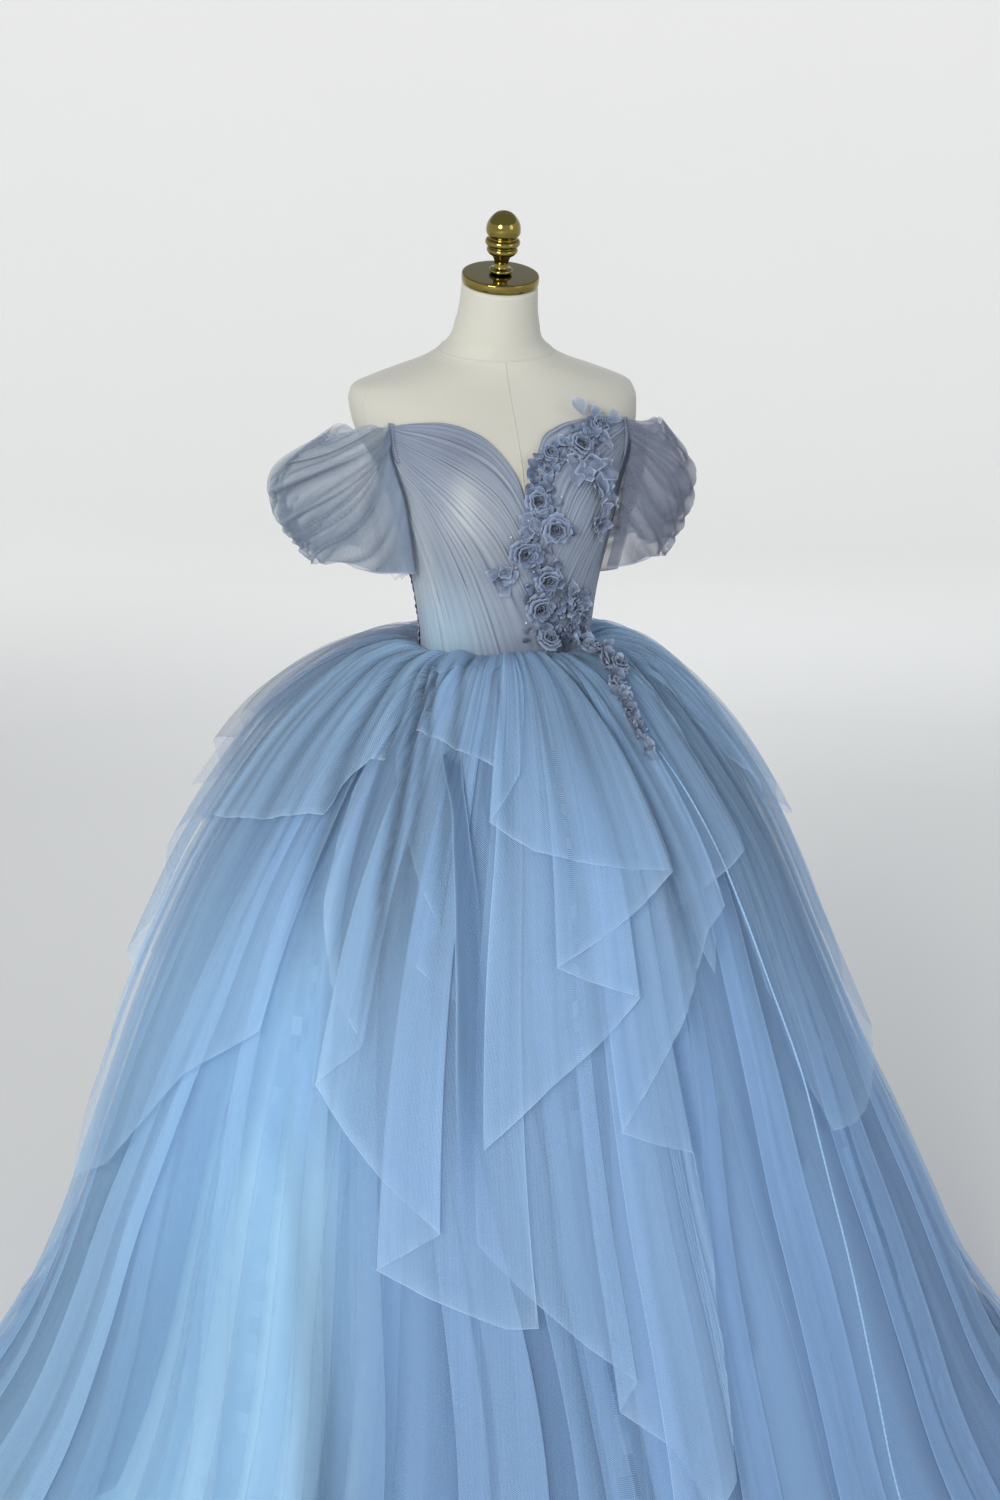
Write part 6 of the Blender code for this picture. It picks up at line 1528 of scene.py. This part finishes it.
def parting():
    """A strip of denser tulle painted dark, with pale painted rims, laid between two folded edges left of the front's
    middle: painted shade of the deep fold there.
    """
    s_ = np.linspace(0.150, 0.600, 160)[:, None]
    q = np.array([0.0, 0.07, 0.16, 0.35, 0.65, 0.84, 0.93, 1.0])[None, :]
    left = hermite((0.150, 0.182, 0.202, 0.240, 0.275, 0.327, 0.45, 0.60), (-31.0, -26.5, -23.9, -21.7, -20.2, -18.9, -17.6, -16.8), s_)
    right = hermite((0.150, 0.182, 0.210, 0.240, 0.273, 0.325, 0.45, 0.60), (-24.8, -22.1, -19.8, -17.9, -16.1, -14.6, -13.6, -13.6), s_)
    az = left + (right - left) * q
    S = np.broadcast_to(s_, az.shape)
    lift = 0.0100 + 0.0105 * smooth01((S - 0.150) / 0.05) + 0.0010 * noise1(S * 30, 501, 2)
    P = skirt_at(az, S, lift - 0.85 * pouf(az, S))
    fade = smooth01((0.60 - S) / 0.20)
    rim = np.array([1.0, 0.15, 0.0, 0.0, 0.0, 0.0, 0.15, 1.0])[None, :]
    soften = smooth01((S - 0.20) / 0.12)
    across = 1 - soften * 0.88 * smooth01((q - 0.25) / 0.75)
    mark = np.where(q > 0.5, 1 - soften, 1.0)
    streak = 0.10 * noise1(q * 5 + S * 2, 502, 2) * noise1(S * 9 + q, 503, 2)
    ob = grid("overlay_parting_painted_shade", P.transpose(1, 0, 2), M_MID, uv=gore_uv(az, S).transpose(1, 0, 2), edge=(0.55 * rim * mark * fade).T,
              dens=(0.10 + 1.95 * fade * across * (0.35 + 0.65 * (rim < 0.5))).T, tone=0.0,
              dark=(fade * (0.50 * (1 - rim) * (0.3 + 0.7 * across) + streak - 0.02)).T,
              fan=np.radians(az).T, down=S.T)
    place(ob, "gown", "overlay_tulle")
    declare(ob, P.transpose(1, 0, 2))


parting()


def stitched_seam():
    """The pale seam that runs down the right side of the skirt, with its small stitches."""
    s_ = np.linspace(0.172, 0.985, 420)[:, None]
    q = np.linspace(-1, 1, 5)[None, :]
    az = hermite((0.172, 0.212, 0.305, 0.407, 0.505, 0.573, 0.697, 0.806, 0.902, 1.0),
                 (32.2, 33.8, 35.4, 37.0, 37.6, 36.6, 33.9, 31.6, 29.9, 28.9), s_)
    r = columns(SKIRT, s_)[0]
    stitch = 0.5 + 0.5 * np.cos(s_ * 1.15 * 2 * math.pi / 0.0062)
    grow = smooth01((s_ - 0.172) / 0.05)
    wide = 0.0007 * grow * (0.75 + 0.35 * stitch)
    lift = 0.0092 + 0.0016 * (1 - q**2) * (0.6 + 0.5 * stitch) - 0.0010 * np.abs(q)
    P = skirt_at(az + np.degrees(q * wide / r), s_ + 0 * q, lift - 0.85 * pouf(az, s_))
    ob = grid("seam_stitched", P, M_SEAM, uv=vec(q * 0.001 + 0 * s_, s_ * 1.15 + 0 * q), tone=0.6 * stitch + 0 * q)
    place(ob, "gown", "skirt_tulle")


stitched_seam()


# ------------------------------------------------------------------ flowers
def basis(n):
    n = unit(np.asarray(n, float))
    u = unit(np.cross(n, (0.0, 0.0, 1.0)))
    return u, np.cross(n, u), n


def petal(bag, c, u, w, n, length, width, lean, curl, rng, cup=0.35, tone=0.4, nu=7, nv=6, ruffled=0.12, pointed=0.0):
    """One petal that grows from c along u, rises along n by lean, cups across w."""
    a = np.linspace(-1, 1, nu)[:, None]
    q = np.linspace(0, 1, nv)[None, :]
    shape = np.sin(math.pi * (0.12 + 0.80 * q) ** (0.9 + 0.5 * pointed)) ** (0.6 + 0.6 * pointed)
    ph = rng.random(3) * 6.283
    wave = ruffled * np.sin(3.2 * a + ph[0] + 2.5 * q) * q + 0.5 * ruffled * np.sin(7 * a + ph[1]) * q**2
    across = a * width * 0.5 * shape
    out = length * q * (1 - 0.12 * a**2) * math.cos(lean) - length * curl * 0.25 * q**3
    up = length * (math.sin(lean) * q - curl * q**3 * 0.6 + cup * (a**2) * shape * 0.35 + wave * 0.55)
    P = c + out[..., None] * u + across[..., None] * w + up[..., None] * n
    # rim: painted highlight in the lighter colour; deep: painted shade toward the base
    rim = np.maximum(q**6, np.abs(a) ** 8 * 0.6) * np.ones(a.shape)
    bag.add(P, tone=np.clip(tone + 0.65 * rim, 0, 1), deep=np.clip(0.75 * (1 - q) ** 1.5 * np.ones(a.shape), 0, 1), edge=rim,
            dens=1.0)


def scrap(bag, c, u, w, n, length, width, rng, lift=0.3):
    """A square-cut piece of organza, crumpled, held at its middle."""
    a = np.linspace(-1, 1, 11)[:, None]
    b = np.linspace(-1, 1, 11)[None, :]
    f = rng.random(6) * 6.283
    k = 1.2 + 1.6 * rng.random(3)
    fold = 0.16 * np.abs(np.sin(k[0] * a + f[0] + 0.8 * b)) + 0.12 * np.abs(np.sin(k[1] * b * 1.3 + f[1] - 0.9 * a))
    fold = fold + 0.05 * np.sin(5 * a + f[2]) * np.sin(4 * b + f[3])
    r = np.maximum(np.abs(a), np.abs(b))
    skew = 0.25 * np.sin(f[4])
    P = (c + ((a + skew * b) * 0.5 * width * (1 - 0.10 * b**2))[..., None] * w
         + ((b + 0.15 * a) * 0.5 * length * (1 - 0.08 * a**2))[..., None] * u
         + (length * (fold + lift * r**2 * (0.5 + 0.5 * np.sin(f[5] + 1.6 * np.arctan2(b, a)))))[..., None] * n)
    # raised folds painted lighter and hollows painted darker: painted light and shade
    rim = r**14
    bag.add(P, tone=np.clip(0.3 + 1.6 * fold, 0, 1), deep=0.0 * r, edge=rim, dens=0.85 + 0.0 * r, dark=np.clip(0.55 - 3.2 * fold, -0.05, 0.45))


def rose(bag, c, normal, R, H, seed):
    """A rolled ribbon heart inside rings of cupped petals with turned rims."""
    rng = np.random.default_rng(seed)
    u, w, n = basis(normal)
    spin = rng.random() * 6.283
    turns = 2.5
    ph = np.linspace(0, 2 * math.pi * turns, 78)[:, None]
    q = np.linspace(0, 1, 5)[None, :]
    rad = R * (0.05 + 0.40 * (ph / ph.max()) ** 0.85) + R * 0.05 * np.sin(ph * 2.3 + seed) * q + R * 0.08 * q**2
    hgt = H * (0.35 + (0.60 - 0.16 * (ph / ph.max())) * q) + H * 0.06 * np.sin(ph * 3.7 + seed) * q
    ang = ph + spin
    P = c + (rad * np.cos(ang))[..., None] * u + (rad * np.sin(ang))[..., None] * w + hgt[..., None] * n
    # rolled heart: painted shade inside, painted highlight at its top edge
    bag.add(P, tone=np.clip(0.05 + 0.9 * q**5 + 0 * ph, 0, 1), deep=np.clip(1.25 - 0.95 * q**2 - 0.15 * ph / ph.max(), 0, 1),
            edge=q**4 + 0 * ph, dens=1.0)
    for m, rb, rt, zt, open_ in ((3, 0.34, 0.62, 0.92, 0.2), (4, 0.44, 0.84, 0.74, 0.5), (5, 0.50, 1.06, 0.46, 0.9)):
        for k in range(m):
            a0 = spin + 2 * math.pi * (k + 0.35 * rng.random()) / m + m
            half = math.pi / m * (1.15 + 0.2 * rng.random())
            a = np.linspace(-1, 1, 11)[:, None]
            q = np.linspace(0, 1, 7)[None, :]
            narrow = 0.55 + 0.45 * np.sin(0.5 * math.pi * q)
            th = a0 + a * half * narrow
            f = rng.random(2) * 6.283
            wav = 0.10 * np.sin(3.5 * a + f[0]) * q + 0.06 * np.sin(9 * a + f[1]) * q
            drop = 1 - 0.22 * a**2 * q
            rad = R * (rb + (rt - rb) * q ** (1.5 - 0.5 * open_) + wav + 0.10 * open_ * q**4) * (0.96 + 0.04 * drop)
            hgt = H * (0.05 + zt * np.sin(np.minimum(q * 1.25, 1.0) * math.pi / 2) * drop - 0.20 * open_ * q**5 + wav * 0.7)
            P = c + (rad * np.cos(th))[..., None] * u + (rad * np.sin(th))[..., None] * w + hgt[..., None] * n
            # painted highlight on the rim, painted shade toward the base
            rim = np.clip(q**5 + 0 * a, 0, 1)
            bag.add(P, tone=np.clip(0.12 + 0.3 * rng.random() + 0.55 * rim, 0, 1), deep=np.clip((1.0 - 0.15 * open_) * (1 - q) ** (0.55 + 0.65 * open_) + 0 * a, 0, 1), edge=rim, dens=1.0)


def spray(bag, c, normal, R, H, seed, count=9, big=1.0):
    """A low bunch of small crumpled petals."""
    rng = np.random.default_rng(seed)
    u, w, n = basis(normal)
    for k in range(count):
        a = 2 * math.pi * (k + rng.random() * 0.7) / count
        d = np.cos(a) * u + np.sin(a) * w
        e = -np.sin(a) * u + np.cos(a) * w
        start_r = R * (0.05 + 0.45 * rng.random())
        petal(bag, c + d * start_r + n * H * 0.15 * rng.random(), d, e, n, R * (0.55 + 0.45 * rng.random()) * big,
              R * (0.6 + 0.5 * rng.random()) * big, 0.35 + 0.8 * rng.random(), 0.5 * rng.random(), rng,
              tone=0.15 + 0.5 * rng.random(), ruffled=0.20)


def on_bodice(x, z, off):
    a = angle_at(np.array(z), np.array(x))
    return form_off(np.array(z), a, np.array(off)), form_normal(np.array(z), a)


def flowers():
    for k, (name, (x, z, R, H)) in enumerate(FLOWERS.items()):
        c, n = on_bodice(x, z, BODICE_OFF + 0.0010)
        bag = Bag()
        if name.startswith("rose"):
            rose(bag, c, n, R * 0.98, H, 100 + k)
        else:
            spray(bag, c, n, R, H, 100 + k, count=10, big=1.1)
        place(bag.build(name + "_cloth", M_PETAL), "gown", "petals", name)
    for k, (name, (az, s, R, H)) in enumerate(TRAIL.items()):
        h = 0.0065 + (0.0100 - 0.0065) * float(smooth01(s / 0.2)) + 0.0046
        c = skirt_at(az, s, h)
        nr, nz = skirt_normal(np.array(s))
        a = math.radians(az)
        n = np.array((nr * math.sin(a), -nr * math.cos(a), nz))
        bag = Bag()
        if name.startswith("rose"):
            rose(bag, c, n, R, H, 200 + k)
        else:
            spray(bag, c, n, R * 1.2, H, 200 + k, count=8, big=1.1)
        place(bag.build(name + "_cloth", M_PETAL), "gown", "petals", name)
    az, r, z, up, R, H = WAIST_ROSE
    a = math.radians(az)
    out = np.array((math.sin(a), -math.cos(a), 0.0))
    bag = Bag()
    rose(bag, out * r + np.array((0, 0, z)), out + np.array((0, 0, up)), R, H, 300)
    place(bag.build("rose_10_cloth", M_PETAL), "gown", "petals", "rose_10")
    # small petals that fill the line of flowers from shoulder to waist
    rng = np.random.default_rng(77)
    line = np.array([(0.128, 1.398), (0.112, 1.394), (0.095, 1.384), (0.079, 1.372), (0.058, 1.369), (0.040, 1.364),
                     (0.031, 1.345), (0.020, 1.325), (0.018, 1.309), (0.036, 1.281), (0.012, 1.262), (0.000, 1.247), (0.020, 1.226),
                     (0.031, 1.208), (0.020, 1.190), (0.022, 1.170), (0.026, 1.148), (0.030, 1.128)])
    bag = Bag()
    for k in range(165):
        q = rng.random() * (len(line) - 1)
        i = int(q)
        x, z = line[i] + (line[i + 1] - line[i]) * (q - i)
        spread = 0.016 if z > 1.20 else 0.012
        x, z = x + spread * rng.normal() * 0.75, z + spread * rng.normal() * 0.6
        top = float(top_edge(angle_at(np.array(z), np.array(x))))
        if z > top + 0.004:
            continue
        c, n = on_bodice(x, z, BODICE_OFF + 0.0016 + 0.004 * rng.random())
        u, w, n = basis(n)
        a = rng.random() * 6.283
        petal(bag, c, np.cos(a) * u + np.sin(a) * w, -np.sin(a) * u + np.cos(a) * w, n, 0.009 + 0.009 * rng.random(),
              0.009 + 0.008 * rng.random(), 0.15 + 0.55 * rng.random(), 0.5 * rng.random(), rng, tone=0.05 + 0.30 * rng.random(),
              ruffled=0.25)
    # petals over the right side of the bodice's waist and the cluster between waist and hip
    for k in range(60):
        x, z = 0.040 + 0.055 * rng.random(), 1.120 + 0.075 * rng.random() ** 1.2
        if x < 0.05 and z > 1.17:
            continue
        c, n = on_bodice(x, z, BODICE_OFF + 0.0012 + 0.002 * rng.random())
        u, w, n = basis(n)
        a = rng.random() * 6.283
        petal(bag, c, np.cos(a) * u + np.sin(a) * w, -np.sin(a) * u + np.cos(a) * w, n, 0.009 + 0.008 * rng.random(),
              0.009 + 0.007 * rng.random(), 0.15 + 0.5 * rng.random(), 0.4 * rng.random(), rng, tone=0.05 + 0.45 * rng.random(),
              ruffled=0.22)
    place(bag.build("petals_scattered", M_PETAL), "gown", "petals")
    # large sheer organza leaves
    bag = Bag()
    for x, z, a, L, W in ((0.090, 1.409, 1.9, 0.024, 0.018), (0.103, 1.405, 1.2, 0.018, 0.016), (0.124, 1.399, 0.4, 0.022, 0.016),
                          (0.010, 1.285, 2.6, 0.020, 0.018), (-0.030, 1.222, 3.0, 0.020, 0.016), (-0.018, 1.205, 3.9, 0.018, 0.016),
                          (0.062, 1.345, -1.4, 0.022, 0.018), (0.075, 1.175, 0.4, 0.020, 0.018)):
        c, n = on_bodice(x, min(z, 1.400), BODICE_OFF + 0.0040)
        c = c + np.array((0, 0, max(0.0, z - 1.400)))
        u, w, n = basis(n)
        a = -a
        d, e = np.cos(a) * (-u) + np.sin(a) * w, np.sin(a) * u + np.cos(a) * w
        petal(bag, c, d, e, n, L * 1.2, W * 1.3, 0.22, 0.20, rng, tone=0.5, nu=11, nv=11, ruffled=0.16, pointed=0.9)
    for x, z, a, L, W in ((0.106, 1.342, 0.3, 0.032, 0.030), (0.094, 1.322, 1.0, 0.030, 0.024), (0.109, 1.312, 0.6, 0.026, 0.022),
                          (0.088, 1.350, -0.4, 0.026, 0.024), (0.075, 1.340, 0.8, 0.026, 0.020), (0.098, 1.296, 0.2, 0.024, 0.018),
                          (0.066, 1.352, 0.1, 0.020, 0.018), (0.012, 1.283, 0.5, 0.019, 0.017), (-0.002, 1.276, 1.1, 0.017, 0.016),
                          (0.062, 1.196, 0.7, 0.022, 0.018), (0.080, 1.170, 0.2, 0.022, 0.020), (0.070, 1.150, 1.2, 0.020, 0.018),
                          (-0.026, 1.226, 0.4, 0.017, 0.015), (0.114, 1.376, 0.9, 0.024, 0.018), (0.058, 1.376, 0.2, 0.018, 0.015)):
        c, n = on_bodice(x, z, BODICE_OFF + 0.0035 + 0.002 * rng.random())
        u, w, n = basis(n)
        d, e = np.cos(a) * (-u) + np.sin(a) * w, np.sin(a) * u + np.cos(a) * w
        scrap(bag, c, d, e, n, L, W, rng)
    place(bag.build("leaves_organza", M_LEAF), "gown", "petals")
    # ruffled ribbon that carries the trail on the skirt
    bag = Bag()
    t = np.linspace(0, 1, 90)[:, None]
    azr = hermite((0, 0.3, 0.6, 1.0), (36.5, 36.0, 30.0, 27.5), t)
    sr = 0.030 + 0.145 * t
    for side, ph in ((-1, 0.0), (1, 2.0)):
        q = np.linspace(0, 1, 5)[None, :]
        width = 0.015 * (1 - 0.45 * t)
        azz = azr + side * np.degrees(q * width / 0.27)
        lift = 0.0135 + 0.006 * q * (0.6 + np.sin(t * 95 + ph) * 0.9) + 0.001 * np.sin(t * 31)
        P = skirt_at(azz, sr + 0.004 * q * np.sin(t * 60 + ph), lift)
        # outer edge painted light, inner edge painted shade
        bag.add(P, tone=np.clip(0.2 + 0.7 * q**3 + 0 * t, 0, 1), deep=np.clip(0.7 * (1 - q) + 0 * t, 0, 1), edge=q**4 + 0 * t, dens=1.0)
    for k in range(84):
        tt = rng.random() ** 1.35
        az0 = float(hermite((0, 0.3, 0.6, 1.0), (37.0, 36.5, 30.0, 27.5), tt)) + 2.1 * (1 - 0.5 * tt) * rng.normal()
        s0 = 0.030 + 0.145 * tt
        c = skirt_at(az0, s0, 0.0145 + 0.003 * rng.random())
        nr, nz = skirt_normal(np.array(s0))
        a = math.radians(az0)
        u, w, n = basis((nr * math.sin(a), -nr * math.cos(a), nz))
        b = rng.random() * 6.283
        petal(bag, c, np.cos(b) * u + np.sin(b) * w, -np.sin(b) * u + np.cos(b) * w, n, (1.5 - 0.4 * tt) * (0.009 + 0.005 * rng.random()),
              (1.5 - 0.4 * tt) * (0.009 + 0.005 * rng.random()), 0.3 + 0.7 * rng.random(), 0.4 * rng.random(), rng, tone=0.15 + 0.5 * rng.random(),
              ruffled=0.22)
    place(bag.build("trail_ribbon", M_PETAL), "gown", "petals")
    # crystal beads
    bag = Bag()
    lat = np.linspace(0, math.pi, 7)[None, :]
    lon = np.linspace(0, 2 * math.pi, 11)[:-1, None]
    ball = vec(np.sin(lat) * np.cos(lon), np.sin(lat) * np.sin(lon), np.cos(lat) + 0 * lon)
    for x, z, off in ((0.010, 1.2895, 0.010), (0.003, 1.2890, 0.009), (-0.022, 1.2700, 0.008), (0.012, 1.2230, 0.012),
                      (0.066, 1.1960, 0.008), (0.058, 1.3560, 0.012), (0.046, 1.3150, 0.009), (0.095, 1.3900, 0.010),
                      (0.006, 1.1500, 0.010), (-0.012, 1.2280, 0.008), (0.052, 1.1600, 0.008), (0.060, 1.1350, 0.008)):
        c, n = on_bodice(x, z, BODICE_OFF + off * 0.5)
        bag.add(c + ball * 0.0014, closed=True)
    place(bag.build("beads_crystal", M_BEAD), "gown", "petals")


flowers()


# ------------------------------------------------------------------ zip
def zipper():
    for name, mat in (("zip_tape", M_TAPE), ("zip_slider", M_ZIP), ("zip_pull", M_ZIP)):
        ob = NODES[name]
        ob.data.materials.clear()
        ob.data.materials.append(mat)
    bag = Bag()
    y_of = lambda z: float(form_off(np.array(z), np.array(180.0), np.array(0.0026))[1])
    for k, z in enumerate(np.arange(ZIP_Z[0] + 0.003, SLIDER_Z - 0.006, 0.0021)):
        x = 0.0005 * (1 if k % 2 else -1)
        y = y_of(z)
        sx, sy, sz = 0.0011, 0.0006, 0.0007
        prof = np.array([(-1, -1), (1, -1), (1, 1), (-1, 1)], float)
        P = np.array([[(x + sx * a, y + sy * d, z + sz * b) for d in (-1, 0.6, 1)] for a, b in prof])
        P[:, 2, 0] = x + (P[:, 2, 0] - x) * 0.6
        P[:, 2, 2] = z + (P[:, 2, 2] - z) * 0.6
        bag.add(P, closed=True)
    place(bag.build("zip_teeth", M_ZIP), "gown", "zip_metal")


zipper()
